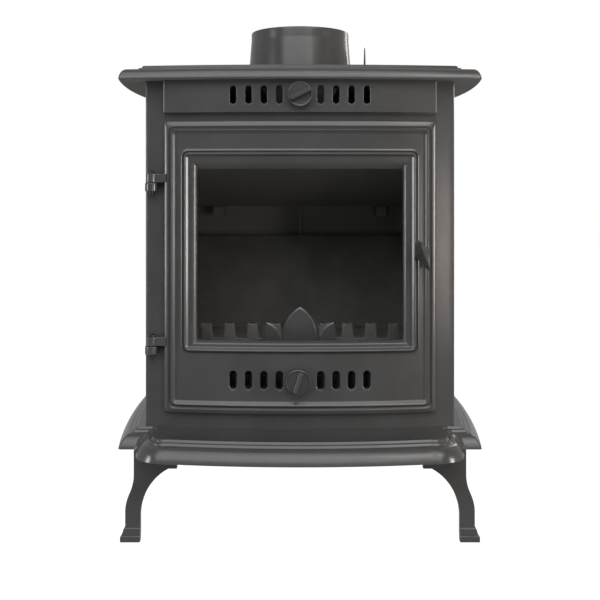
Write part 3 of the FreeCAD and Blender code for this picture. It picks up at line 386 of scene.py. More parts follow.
def block(name, low, high, soft=0.0):
    """A block between two corners in millimetres with bevelled edges."""
    bpy.ops.object.select_all(action="DESELECT")
    bpy.ops.mesh.primitive_cube_add(size=1)
    obj = bpy.context.object
    obj.name = name
    for vertex in obj.data.vertices:
        vertex.co = [(l if c < 0 else h) * MM for c, l, h in zip(vertex.co, low, high)]
    if soft:
        bpy.ops.object.mode_set(mode="EDIT")
        bpy.ops.mesh.select_all(action="SELECT")
        bpy.ops.mesh.bevel(offset=soft * MM, segments=3, affect="EDGES")
        bpy.ops.object.mode_set(mode="OBJECT")
    return obj


def carve(obj, tool, how="DIFFERENCE"):
    """Cuts a tool from a piece, or joins it on, and takes the tool away."""
    select_only(obj)
    change = obj.modifiers.new("Carve", "BOOLEAN")
    change.operation = how
    change.solver = "EXACT"
    change.object = tool
    bpy.ops.object.modifier_apply(modifier=change.name)
    bpy.data.objects.remove(tool)
    return obj


def soften(obj, width, angle=38, segments=3):
    """Rounds the edges that are sharper than an angle."""
    select_only(obj)
    bevel = obj.modifiers.new("Soft edges", "BEVEL")
    bevel.width = width * MM
    bevel.segments = segments
    bevel.limit_method = "ANGLE"
    bevel.angle_limit = radians(angle)
    bpy.ops.object.modifier_apply(modifier=bevel.name)
    return obj


def mirrored(obj, name, axis, about=0.0):
    """A copy with its own mesh on the other side of a plane."""
    select_only(obj)
    bpy.ops.object.duplicate()
    copy = bpy.context.object
    copy.name = name
    normal = Vector([1.0 if place == axis else 0.0 for place in range(3)])
    copy.data.transform(Matrix.Translation(normal * about * 2 * MM) @ Matrix.Scale(-1, 4, normal))
    copy.data.flip_normals()
    return copy


def dress(obj, body, nodes, slot, angle=32):
    """Smooths a piece, gives it its finish and sets it on a body in place of CAD nodes."""
    select_only(obj)
    bpy.ops.object.shade_smooth_by_angle(angle=radians(angle))
    even = obj.modifiers.new("Even shading", "WEIGHTED_NORMAL")
    even.keep_sharp = True
    bpy.ops.object.modifier_apply(modifier=even.name)
    obj.data.materials.clear()
    obj.data.materials.append(finish(slot))
    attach(obj, body)
    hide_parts(*nodes)
    return obj


# Finishes

def add(tree, kind, settings, **links):
    """Adds a node with its settings and links its sockets, by name or, among the settings, by number."""
    node = tree.nodes.new("ShaderNode" + kind)
    for key, value in settings.items():
        if isinstance(value, bpy.types.NodeSocket):
            tree.links.new(value, node.inputs[key])
        elif isinstance(key, int) or key in node.inputs:
            node.inputs[key].default_value = value
        else:
            setattr(node, key, value)
    for key, source in links.items():
        tree.links.new(source, node.inputs[key.replace("_", " ")])
    return node


def new_finish(name):
    material = bpy.data.materials.new(name)
    material.use_nodes = True
    tree = material.node_tree
    tree.nodes.clear()
    return material, tree


def per_size(millimetres):
    """A pattern scale whose features are about this size."""
    return 1 / (millimetres * MM)


def mottle(tree, first, second, patch, low, high):
    """Two colours that drift into each other in patches, with the coordinates they are laid by."""
    where = add(tree, "TexCoord", {})
    drift = add(tree, "TexNoise", {"Scale": per_size(patch), "Detail": 4.0, "Roughness": 0.6},
                Vector=where.outputs["Object"])
    share = add(tree, "MapRange", {"From Min": low, "From Max": high}, Value=drift.outputs["Fac"])
    tone = add(tree, "Mix", {"data_type": "RGBA", 0: share.outputs["Result"], 6: first, 7: second})
    return where.outputs["Object"], tone.outputs[2]


def grained(tree, where, grain, detail, breakup, smooth, rough, strength, depth):
    """A fine grain of a size in millimetres, as a roughness that follows it and the bumps that it makes."""
    pattern = add(tree, "TexNoise", {"Scale": per_size(grain), "Detail": detail, "Roughness": breakup},
                  Vector=where)
    gloss = add(tree, "MapRange", {"From Min": 0.3, "From Max": 0.7, "To Min": smooth, "To Max": rough},
                Value=pattern.outputs["Fac"])
    bumps = add(tree, "Bump", {"Strength": strength, "Distance": depth * MM}, Height=pattern.outputs["Fac"])
    return gloss.outputs["Result"], bumps.outputs["Normal"]


def stove_paint(tree):
    """Sand-cast iron under satin graphite stove paint."""
    # Casting sand leaves a fine even pebble that the paint softens; light spreads to a satin sheen.
    where, tone = mottle(tree, colours().iron, colours().iron_worn, 70, 0.35, 0.7)
    # Real sand grain is under a millimetre; it is drawn at 2.2 mm so that it shows.
    gloss, pebble = grained(tree, where, 2.2, 3.0, 0.55, 0.2, 0.27, 0.1, 0.25)
    return add(tree, "BsdfPrincipled", {"Metallic": 0.0, "IOR": 1.5, "Specular IOR Level": 0.4},
               Base_Color=tone, Roughness=gloss, Normal=pebble)


def burnt_iron(tree):
    """Unpainted sand-cast iron that fire has burnt to a matt dark grey."""
    # Scale and ash dust kill the sheen and leave soft pale drifts on the plates round the fire. Painted
    # light and shade:
    # the iron round the log fence at the front is painted darker, and above the liner's top edge lighter,
    # for how little light reaches in.
    where, ash = mottle(tree, colours().firebox, colours().firebox_ash, 55, 0.4, 0.75)
    axes = add(tree, "SeparateXYZ", {}, Vector=where)
    # Painted light and shade: masks that paint the iron lighter above the liner's top edge and darker
    # towards the front.
    height = add(tree, "MapRange", {"From Min": 374 * MM, "From Max": 384 * MM}, Value=axes.outputs["Z"])
    depth = add(tree, "MapRange", {"From Min": -75 * MM, "From Max": -60 * MM}, Value=axes.outputs["Y"])
    # Painted shade: darker towards the front of the firebox, where more light falls through the window.
    fire = add(tree, "Mix", {"data_type": "RGBA", 0: depth.outputs["Result"], 6: colours().firebox_front_painted_dark,
                             7: ash})
    tone = add(tree, "Mix", {"data_type": "RGBA", 0: height.outputs["Result"], 6: fire.outputs[2],
                             7: colours().upper_painted_light})
    gloss, scale = grained(tree, where, 3.0, 5.0, 0.65, 0.62, 0.8, 0.2, 0.4)
    return add(tree, "BsdfPrincipled", {"Metallic": 0.0, "IOR": 1.5, "Specular IOR Level": 0.35},
               Base_Color=tone.outputs[2], Roughness=gloss, Normal=scale)


def black_oxide_steel(tree):
    """Turned and stamped steel with a black oxide coat."""
    # The thin coat keeps the metal's tight highlight and rubs paler where it is handled.
    where, tone = mottle(tree, colours().steel, colours().steel_rub, 14, 0.4, 0.75)
    gloss, dents = grained(tree, where, 1.4, 4.0, 0.5, 0.34, 0.5, 0.08, 0.15)
    return add(tree, "BsdfPrincipled", {"Metallic": 0.6}, Base_Color=tone, Roughness=gloss, Normal=dents)


def rolled_steel(tree):
    """Cold-rolled sheet steel, dulled by heat."""
    # Rolling leaves faint streaks along the sheet; heat dulls it in wide patches.
    where, tone = mottle(tree, colours().sheet, colours().sheet_dull, 40, 0.35, 0.7)
    along = add(tree, "Mapping", {"Scale": (0.06, 1.0, 1.0)}, Vector=where)
    gloss, streaks = grained(tree, along.outputs["Vector"], 1.2, 3.0, 0.5, 0.32, 0.52, 0.06, 0.1)
    return add(tree, "BsdfPrincipled", {"Metallic": 1.0}, Base_Color=tone, Roughness=gloss, Normal=streaks)


def glass_ceramic(tree):
    """Clear heat-proof glass ceramic, rolled flat and bent."""
    # Clear with a low sheen; a trace of smoke haze shows only where light rakes it.
    # Light crosses a thin pane straight, so the bend at its faces is left out and a coat gives the sheen.
    where = add(tree, "TexCoord", {})
    haze = add(tree, "TexNoise", {"Scale": per_size(60), "Detail": 3.0}, Vector=where.outputs["Object"])
    gloss = add(tree, "MapRange", {"From Min": 0.4, "From Max": 0.8, "To Min": 0.1, "To Max": 0.16},
                Value=haze.outputs["Fac"])
    return add(tree, "BsdfPrincipled",
               {"Base Color": colours().glass, "Transmission Weight": 1.0, "IOR": 1.02, "Alpha": 0.06,
                "Coat Weight": 1.0, "Coat IOR": 1.47},
               Roughness=gloss.outputs["Result"], Coat_Roughness=gloss.outputs["Result"])


def glass_fibre_rope(tree):
    """Braided glass fibre rope, blackened."""
    # The braid's yarns catch light in short slanted rows; fibre is matt with a soft fuzz.
    where, tone = mottle(tree, colours().rope, colours().rope_fray, 4, 0.45, 0.7)
    slant = add(tree, "Mapping", {"Rotation": (0.0, radians(45), 0.0)}, Vector=where)
    braid = add(tree, "TexWave", {"Scale": per_size(2.5) / (2 * pi), "Distortion": 1.5, "Detail": 1.0},
                Vector=slant.outputs["Vector"])
    yarns = add(tree, "Bump", {"Strength": 0.5, "Distance": 0.6 * MM}, Height=braid.outputs["Fac"])
    return add(tree, "BsdfPrincipled", {"Roughness": 0.9, "Sheen Weight": 0.2},
               Base_Color=tone, Normal=yarns.outputs["Normal"])


# Each slot's material, by its name and the function that draws it
FINISHES = {"stove_iron": ("sand_cast_iron_stove_paint", stove_paint),
            "firebox_iron": ("burnt_cast_iron", burnt_iron),
            "blackened_steel": ("black_oxide_steel", black_oxide_steel),
            "sheet_steel": ("cold_rolled_sheet_steel", rolled_steel),
            "clear_glass": ("clear_glass_ceramic", glass_ceramic),
            "fibre_rope": ("braided_glass_fibre_rope", glass_fibre_rope)}
made_finishes = {}


def finish(slot):
    """The one material of a slot, made when it is first asked for."""
    if slot not in made_finishes:
        name, draw = FINISHES[slot]
        material, tree = new_finish(name)
        add(tree, "OutputMaterial", {}, Surface=draw(tree).outputs["BSDF"])
        made_finishes[slot] = material
    return made_finishes[slot]


# Pieces

def moulding(low, top, outline_at, width, across, rise):
    """Rings up a plate's edge: a rim that rolls in as an ellipse, then two steps to a raised middle."""
    ledge = top - sizes().rim_step / MM
    half_step = (top - ledge) / 2
    foot = low + 1.2
    first = asin(1 - (ledge - foot) / rise)
    profile = [(1.2, low), (0.3, low + 0.4)]
    for step in range(13):
        a = first + (pi / 2 - first) * step / 12
        profile.append((across * (cos(first) - cos(a)), ledge - rise + rise * sin(a)))
    for inset, z in ((width, ledge), (width + 4.6, ledge + half_step)):
        profile += [(inset - 0.6, z), (inset, z + 0.4), (inset + 1.1, z + half_step - 0.5),
                    (inset + 1.8, z + half_step)]
    return [[(x, y, z) for x, y in outline_at(inset)] for inset, z in profile]


def second_finish(obj, slot, chosen):
    """Gives the chosen faces of a piece another finish than its own."""
    obj.data.materials.append(finish(slot))
    for face in obj.data.polygons:
        if chosen(face):
            face.material_index = 1


class STOVE_OT_hearth_plate(bpy.types.Operator):
    """Models the hearth plate with its round rim and raised middle."""

    bl_idname = "stove.hearth_plate"
    bl_label = "Hearth plate"

    def execute(self, context):
        rim, roll = sizes().hearth_rim / MM, sizes().hearth_roll / MM
        rise = 40.0
        plate = skin("hearth_plate", moulding(LEG_TOP, BASE_TOP, hearth_outline, rim, roll, rise))
        for hollow in HEARTH_HOLLOWS:
            carve(plate, block("hollow", *hollow, 2))
        dress(plate, "stove", ["base_plate"], "stove_iron")
        return {"FINISHED"}


class STOVE_OT_top_plate(bpy.types.Operator):
    """Models the top plate with its round rim, raised panel and flue opening."""

    bl_idname = "stove.top_plate"
    bl_label = "Top plate"

    def execute(self, context):
        rim, roll = sizes().top_rim / MM, sizes().top_roll / MM
        rise = 16.0
        plate = skin("top_plate_cast", moulding(BODY_TOP, TOP_Z, top_outline, rim, roll, rise))
        carve(plate, block("hollow", *TOP_HOLLOW, 2))
        bore = [[(x, y + COLLAR_Y, z) for x, y in circle(FLUE_BORE, 72)] for z in (580, 640)]
        carve(plate, skin("bore", bore))
        dress(plate, "stove", ["top_plate"], "stove_iron")
        second_finish(plate, "firebox_iron", lambda face: face.normal.z < -0.6)
        return {"FINISHED"}


class STOVE_OT_legs(bpy.types.Operator):
    """Models one hollow corner leg and mirrors it to the other three corners."""

    bl_idname = "stove.legs"
    bl_label = "Legs"

    def side_view(self):
        """A leg's outline as steps out from its outer face, and heights."""
        steps = [(-LEG_FLANGE, LEG_TOP), (-LEG_FLANGE, 92)]
        steps += arc((-45, 92), (-9.5, 33), rise_radius(35.5, 59), True, 18)
        steps += [(-9.5, 33), (-9.5, 0), (16, 0), (16, 6.6), (15.2, 7.6), (13.6, 8.2), (13.3, 9.2),
                  (12.6, 14.6), (11.8, 16.4), (10.4, 17.4), (10, 18.6)]
        steps += arc((10, 38), (5, 61), rise_radius(5, 23), False, 8)
        steps += arc((5, 61), (0, 84), rise_radius(5, 23), True, 8)
        steps += [(0, 84), (0, LEG_TOP)]
        return steps

    def leg_block(self, inset):
        face_x = LEG_SIDE_X - inset
        face_y = LEG_FRONT_Y + inset
        near, far = -170.0, LEG_FRONT_Y + LEG_FLANGE + inset
        view = self.side_view()
        front = skin("leg", [[(face_x + s, y, z - inset) for s, z in view] for y in (near, far)])
        near, far = 240.0, LEG_SIDE_X - LEG_FLANGE - inset
        # The toe points out to the side more than to the front.
        toe_share = 0.6
        view = [(s * toe_share if s > 0 else s, z) for s, z in view]
        side = skin("side", [[(x, face_y - s, z - inset) for s, z in view] for x in (near, far)])
        return carve(front, side, "INTERSECT")

    def execute(self, context):
        leg = self.leg_block(0.0)
        wall = 8.0
        carve(leg, self.leg_block(wall))
        soften(leg, sizes().soft_edge / MM, 50)
        leg.name = "leg_cast_front_right"
        middle = (LEG_FRONT_Y + LEG_REAR_Y) / 2
        front_left = mirrored(leg, "leg_cast_front_left", 0)
        rear_right = mirrored(leg, "leg_cast_rear_right", 1, middle)
        rear_left = mirrored(front_left, "leg_cast_rear_left", 1, middle)
        for obj in (leg, front_left, rear_right, rear_left):
            dress(obj, "stove", [obj.name.replace("_cast", "")], "stove_iron")
        return {"FINISHED"}


class STOVE_OT_front_frame(bpy.types.Operator):
    """Models the bowed front frame with its doorway, vent opening and hinge knuckles."""

    bl_idname = "stove.front_frame"
    bl_label = "Front frame"

    def execute(self, context):
        inner = BODY_HALF - 15
        edge_y = bow_y(FRAME_FACE, BODY_HALF)
        right_end = [(BODY_HALF - 0.7, edge_y + 0.4), (BODY_HALF, edge_y + 1.6), (BODY_HALF, FLANGE_BACK),
                     (inner, FLANGE_BACK)]
        face = across_bow(FRAME_FACE, BODY_HALF - 2.5)
        plan = shell_plan(face, across_bow(FRAME_FACE - 10, inner), right_end)
        shell = skin("front_frame_cast", [[(x, y, z) for x, y in plan] for z in (BASE_TOP, BODY_TOP)])
        carve(shell, block("doorway", *DOORWAY, 1))
        carve(shell, block("latch way", *LATCH_WAY, 1))
        low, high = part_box("upper_guide_bottom")[0] / MM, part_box("upper_guide_top")[1] / MM
        carve(shell, block("vent way", (low.x - 4, -220, low.z - 0.5), (high.x + 4, 0, high.z + 0.5)))
        for level in KNUCKLE_LEVELS:
            knuckle = barrel("knuckle", 8.0, KNUCKLE_HEIGHT, (HINGE_X, HINGE_Y, level), (0, 0, 1),
                             ((1.0, 0.0), (0.3, 0.3), (0.0, 1.0)))
            web = block("web", (HINGE_X - 7.4, HINGE_Y, level),
                        (HINGE_X + 7.4, FLANGE_FRONT, level + KNUCKLE_HEIGHT), 0.5)
            carve(shell, carve(knuckle, web, "UNION"), "UNION")
        dress(shell, "stove", ["front_frame"], "stove_iron")
        return {"FINISHED"}


def slot_tool(x, z, face, half_width, half_height, flare):
    """A cutter for one air slot whose mouth flares out to a round edge."""
    mouth = [(4.0, 0.0), (flare, 0.0), (flare * 0.5, flare * 0.13), (flare * 0.134, flare * 0.5),
             (0.0, flare), (-flare * 0.3, flare * 1.7), (-3.0, flare * 1.8)]
    rings = [on_bow(stadium(x, z, half_width, half_height), face - 30)]
    rings += [on_bow(stadium(x, z, half_width + out, half_height + out), face - depth)
              for depth, out in mouth]
    return skin("slot", rings)


def cut_slots(obj, z, face, half_width, flare):
    """Cuts a row of air slots and the short way that the knob's stud slides in."""
    half_height = 11.8
    for x in SLOT_PLACES:
        carve(obj, slot_tool(x, z, face, half_width, half_height, flare))
    way = [(along - 5.05, z + up) for up, along in stadium(0, 0, 4, 9.05)]
    return carve(obj, skin("stud way", [on_bow(way, face - depth) for depth in (30, -3)]))


class STOVE_OT_vent_panel(bpy.types.Operator):
    """Models the bowed panel with the upper air slots."""

    bl_idname = "stove.vent_panel"
    bl_label = "Vent panel"

    def execute(self, context):
        rings = []
        edges = [(0.9, PANEL_LOW), (0.4, PANEL_LOW + 0.15), (0.1, PANEL_LOW + 0.5), (0.0, PANEL_LOW + 1),
                 (0.0, BODY_TOP - 0.8), (0.6, BODY_TOP)]
        for inset, z in edges:
            face = DOOR_FACE - inset
            half = DOOR_HALF - inset * 0.5
            edge_y = bow_y(face, half)
            right_end = [(half - 1.1, edge_y + 0.35), (half - 0.35, edge_y + 1.1), (half, edge_y + 2.4)]
            plan = shell_plan(across_bow(face, half - 2.4), across_bow(FRAME_FACE, half), right_end)
            rings.append([(x, y, z) for x, y in plan])
        panel = skin("vent_panel_cast", rings)
        cut_slots(panel, UPPER_SLOT_Z, DOOR_FACE, half_width=4.2, flare=sizes().upper_flare / MM)
        dress(panel, "stove", ["upper_vent_panel"], "stove_iron")
        return {"FINISHED"}


class STOVE_OT_door(bpy.types.Operator):
    """Models the bowed door with its two beads, window slope, air slots, handle boss and hinge lugs."""

    bl_idname = "stove.door"
    bl_label = "Door"

    def profile(self):
        """Rings over the door from its back edge, across its face, round its back to the seal groove."""
        proud = sizes().bead_proud / MM
        groove = sizes().bead_groove / MM
        field = -sizes().field_sink / MM
        dip = sizes().window_dip / MM
        back = DOOR_BACK - DOOR_FACE
        path = [(DOOR_HALF - 0.6, DOOR_LOW + 0.6, DOOR_TOP - 0.6, 2.5, back),
                (DOOR_HALF, DOOR_LOW, DOOR_TOP, 3, back + 0.7)]
        edge = [(0.9, 0.7, 0.3, -6.0), (1.3, 1.3, 0.7, -4.0), (1.6, 1.7, 1.1, -3.0), (2.1, 2.2, 1.6, -2.3),
                (3.0, 3.2, 2.6, -1.9), (5.0, 5.4, 5.2, -1.2), (6.6, 7.0, 7.4, -0.8), (7.1, 7.6, 8.0, -0.9),
                (7.6, 8.2, 8.6, -1.3), (8.1, 8.9, 9.1, -groove * 0.9), (8.7, 9.8, 9.7, -groove)]
        path += [(DOOR_HALF - side, DOOR_LOW + low, DOOR_TOP - top, 3 + side * 0.6, off)
                 for side, low, top, off in edge]
        # The outer bead has a steep outer wall and a longer inner slope.
        half, low, top = DOOR_HALF - 10.2, DOOR_LOW + 11.2, DOOR_TOP - 10.8
        bead = [(0.0, -groove), (0.3, -0.5), (0.7, proud * 0.5), (1.2, proud * 0.85), (1.9, proud),
                (2.4, proud * 0.94), (3.0, proud * 0.74), (4.5, proud * 0.2), (5.7, field * 0.55),
                (6.4, field * 0.92), (7.4, field)]
        path += [(half - across, low + across * 1.2, top - across, max(8 - across, 1.0), off)
                 for across, off in bead]
        # A low ramp leads up to the window's bead, which has a steep outer wall and a long inner slope.
        half, low, top = WINDOW_HALF + 18, WINDOW_LOW - 15, WINDOW_TOP + 22
        ramp = [(4.4, 9, field), (2.9, 8.9, field + 0.3), (2.0, 8.8, field + 0.8), (1.4, 8.6, field + 0.9),
                (1.0, 8.4, field + 0.4), (0.6, 8.2, field - groove * 0.4)]
        path += [(half + out, low - out, top + out, corner, off) for out, corner, off in ramp]
        bead = [(0.0, field - groove * 0.4), (0.3, field + 0.8), (0.9, 0.4), (1.6, proud * 0.7),
                (2.3, proud * 0.95), (2.8, proud), (3.3, proud * 0.93), (3.9, proud * 0.72),
                (5.2, proud * 0.2), (6.2, field * 0.6), (6.9, field * 0.95), (7.8, field - 0.2)]
        path += [(half - across, low + across, top + 0.2 - across, max(8 - across, 0.6), off)
                 for across, off in bead]
        roll = [(6.4, 4.6, 9.6, 0.4), (4.4, 3.1, 7.3, dip * 0.2), (2.6, 1.9, 5.0, dip * 0.45),
                (1.2, 0.9, 2.9, dip * 0.72), (0.3, 0.2, 1.1, dip), (0.0, 0.0, 0.0, dip + 0.7)]
        path += [(WINDOW_HALF + side, WINDOW_LOW - low, WINDOW_TOP + top, 1, field - fall)
                 for side, low, top, fall in roll]
        path += [(WINDOW_HALF + out, WINDOW_LOW - out, WINDOW_TOP + out, 2, back + off)
                 for out, off in ((0.0, 0.6), (0.6, 0.0))]
        seal_groove = [(7.0, 0.0), (6.99, 2.4), (2.01, 2.4), (2.0, 0.0)]
        path += [(DOOR_HALF - inset, DOOR_LOW + inset, DOOR_TOP - inset, 2, back + off)
                 for inset, off in seal_groove]
        return path

    def execute(self, context):
        field = DOOR_FACE - sizes().field_sink / MM
        rings = [on_bow(round_rectangle(half, low, top, corner), DOOR_FACE + off)
                 for half, low, top, corner, off in self.profile()]
        door = skin("door_cast", rings, joined=True)
        cut_slots(door, LOWER_SLOT_Z, field, half_width=4.7, flare=sizes().lower_flare / MM)
        boss = turned("boss", [(0, 0), (7.6, 0), (8.6, 0.4), (9, 1.4), (9, 12), (0, 12)],
                      (HANDLE_X, HANDLE_Y, HANDLE_Z), (0, 1, 0), 48)
        carve(door, boss, "UNION")
        height = 11.5
        for level in KNUCKLE_LEVELS:
            low = level + KNUCKLE_HEIGHT + 0.6
            lug = barrel("lug", 7.0, height, (HINGE_X, HINGE_Y, low), (0, 0, 1))
            arm = block("arm", (HINGE_X, HINGE_Y - 4.5, low), (-175.5, HINGE_Y + 4.5, low + height), 0.9)
            carve(door, carve(lug, arm, "UNION"), "UNION")
        dress(door, "door", ["door_frame"], "stove_iron")
        return {"FINISHED"}


class STOVE_OT_knobs(bpy.types.Operator):
    """Models the two air knobs: a thin-rimmed disc with a grip bar across it."""

    bl_idname = "stove.knobs"
    bl_label = "Air knobs"

    def execute(self, context):
        half = sizes().grip_width / MM / 2
        for name, x, z, angle in (("upper", 0.0, UPPER_SLOT_Z, 27.0), ("lower", -2.4, LOWER_SLOT_Z, 72.0)):
            disc = turned("knob", [(0, 0), (15.3, 0), (16.0, -0.4), (16.2, -1.2), (16.2, -4.6), (15.9, -5.6),
                                   (15.1, -6.0), (14.5, -5.8), (14.1, -5.0), (13.3, -4.7), (0, -4.7)],
                          (x, KNOB_SEAT_Y, z), (0, 1, 0), 72)
            steps = [(-0.6, -1.5), (-0.6, -4.5), (-0.3, -5.2), (0.0, -6.1), (0.3, -13.1), (0.7, -14.2),
                     (1.6, -14.9)]
            bar = [[(u, KNOB_SEAT_Y + off, w) for u, w in stadium(0, 0, half - inset, 15.0 - inset, 8)]
                   for inset, off in steps]
            grip = skin("grip", bar)
            grip.data.transform(Matrix.Translation((x * MM, 0, z * MM)) @ Matrix.Rotation(
                radians(90 - angle), 4, "Y"))
            knob = carve(disc, grip, "UNION")
            knob.name = name + "_knob_cast"
            dress(knob, name + "_knob", [name + "_knob"], "stove_iron")
        return {"FINISHED"}


class STOVE_OT_handle(bpy.types.Operator):
    """Models the kite-shaped door handle with a ridge down its front."""

    bl_idname = "stove.handle"
    bl_label = "Door handle"

    def execute(self, context):
        kite = [(0, 21), (4.2, 16), (9.6, 3.2), (9.7, 1.2), (8.6, -2.2), (2.2, -17.4), (0, -21),
                (-2.2, -17.4), (-8.6, 0.8), (-9.5, 4.6), (-9.2, 6.6), (-4.0, 17)]
        lean = radians(-20)
        across = Vector((cos(lean), 0, -sin(lean)))
        up = Vector((sin(lean), 0, cos(lean)))
        steps = [(0.9, -0.5), (1.0, -1.2), (1.0, -8.5), (0.97, -9.8), (0.16, -29.4), (0.06, -30.2)]
        rings = []
        for share, off in steps:
            centre = Vector((HANDLE_X, HANDLE_Y + off, HANDLE_Z))
            rings.append([centre + across * u * share + up * v * (0.97 + 0.03 * share) for u, v in kite])
        grip = skin("handle_cast", rings)
        dress(grip, "handle", ["handle_lever"], "stove_iron", 20)
        return {"FINISHED"}


class STOVE_OT_hinge_pins(bpy.types.Operator):
    """Models the two hinge pins with a domed head and a tail below the knuckle."""

    bl_idname = "stove.hinge_pins"
    bl_label = "Hinge pins"

    def execute(self, context):
        for name, level in zip(("lower", "upper"), KNUCKLE_LEVELS):
            head = 28.1
            profile = [(0, 0), (2.2, 0), (2.8, 0.3), (3, 1), (3, head), (4.0, head), (4.3, head + 0.4),
                       (4.3, head + 2.4), (3.8, head + 3.5), (2.6, head + 4.3), (0, head + 4.5)]
            pin = turned("hinge_pin_turned_" + name, profile, (HINGE_X, HINGE_Y, level - 5), (0, 0, 1), 32)
            dress(pin, "door", ["hinge_pin_" + name], "blackened_steel")
        return {"FINISHED"}


class STOVE_OT_flue_collar(bpy.types.Operator):
    """Models the tapered flue collar."""

    bl_idname = "stove.flue_collar"
    bl_label = "Flue collar"

    def execute(self, context):
        profile = [(FLUE_BORE, 0.4), (66.6, 0), (77.0, 0), (77.5, 0.5), (73.5, 54), (73.2, 56), (73.2, 66.6),
                   (72.8, 68.2), (71.8, 69), (67.4, 69), (66.4, 68.4), (FLUE_BORE, 67.2)]
        collar = turned("flue_collar_cast", profile, (0, COLLAR_Y, TOP_Z), (0, 0, 1), 96)
        dress(collar, "stove", ["flue_collar"], "stove_iron")
        return {"FINISHED"}


class STOVE_OT_damper_lever(bpy.types.Operator):
    """Models the damper's lever: a round hub and a blade that thins to its tip."""

    bl_idname = "stove.damper_lever"
    bl_label = "Damper lever"

    def execute(self, context):
        hub = barrel("damper_lever_cast", 8.0, 4.0, (LEVER_X, COLLAR_Y, LEVER_Z), (1, 0, 0))
        steps = [(-4, 2.0, 5.5), (7, 1.7, 5.5), (19, 1.3, 5.3), (29, 0.95, 4.8), (32.6, 0.8, 3.6),
                 (34, 0.6, 2.2)]
        rings = [[(LEVER_X + 2 + thick * u, COLLAR_Y + wide * v, LEVER_Z + up) for u, v in circle(1.0, 20)]
                 for up, thick, wide in steps]
        lever = carve(hub, skin("blade", rings), "UNION")
        dress(lever, "damper", ["damper_lever"], "stove_iron", 40)
        return {"FINISHED"}


def panel_rings(low, high, place):
    """Rings over a flat plate with a raised bead frame; place puts a point at a height off the plate."""
    middle = (low[0] + high[0]) / 2
    half = (high[0] - low[0]) / 2
    bead = 34
    edge = [(0.6, -7.9), (0, -7.3), (0, -1.2), (0.4, -0.4), (1.2, 0.0), (bead - 0.6, 0.0)]
    edge += [(bead + 3 - 3 * cos(pi * step / 8), 2.0 * sin(pi * step / 8) ** 0.8)
             for step in range(9)]
    edge.append((bead + 6.8, -0.2))
    rings = []
    for inset, off in edge:
        corner = 6 if inset > 20 else 0.6
        points = round_rectangle(half - inset, low[1] + inset, high[1] - inset, corner, 12, 12, 5)
        rings.append([place(u + middle, w, off) for u, w in points])
    return rings


class STOVE_OT_side_plates(bpy.types.Operator):
    """Models one side plate with its bead, floor rail and baffle peg, and mirrors it."""

    bl_idname = "stove.side_plates"
    bl_label = "Side plates"

    def execute(self, context):
        rings = panel_rings((FLANGE_BACK, BASE_TOP), (SIDE_PLATE_REAR, BODY_TOP),
                            lambda u, w, off: (BODY_HALF + off, u, w))
        plate = skin("side_plate_cast_right", rings)
        carve(plate, block("rail", *FLOOR_RAIL, 1), "UNION")
        # The peg lies under the leaning baffle, near the front end of its slope.
        low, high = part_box("baffle_plate")
        wall, run, setback, drop = 8.0, 205.0, 180.0, 5.6
        rise = (high.z - low.z) / MM - wall
        peg_z = low.z / MM + rise * setback / run - drop
        profile = [(0, 0), (4.4, 0), (5, 0.6), (5, 23.5), (0, 23.5)]
        peg = turned("peg", profile, (175, -20, peg_z), (1, 0, 0), 32)
        carve(plate, peg, "UNION")
        left = mirrored(plate, "side_plate_cast_left", 0)
        dress(plate, "stove", ["side_plate_right"], "stove_iron")
        dress(left, "stove", ["side_plate_left"], "stove_iron")
        for obj in (plate, left):
            second_finish(obj, "firebox_iron", lambda face: abs(face.center.x) < (BODY_HALF - 7.1) * MM)
        return {"FINISHED"}


class STOVE_OT_back_plate(bpy.types.Operator):
    """Models the back plate with its bead, liner ledge, rib and baffle lugs."""

    bl_idname = "stove.back_plate"
    bl_label = "Back plate"

    def execute(self, context):
        rings = panel_rings((-BODY_HALF, BASE_TOP), (BODY_HALF, BODY_TOP),
                            lambda u, w, off: (u, BODY_BACK + off, w))
        plate = skin("back_plate_cast", rings)
        carve(plate, block("ledge", *LINER_LEDGE, 1), "UNION")
        carve(plate, block("rib", *LINER_RIB, 1.5), "UNION")
        for lug in BAFFLE_LUGS:
            carve(plate, block("lug", *lug, 1.5), "UNION")
        dress(plate, "stove", ["back_plate"], "stove_iron")
        second_finish(plate, "firebox_iron", lambda face: face.center.y < (BODY_BACK - 7.1) * MM)
        return {"FINISHED"}


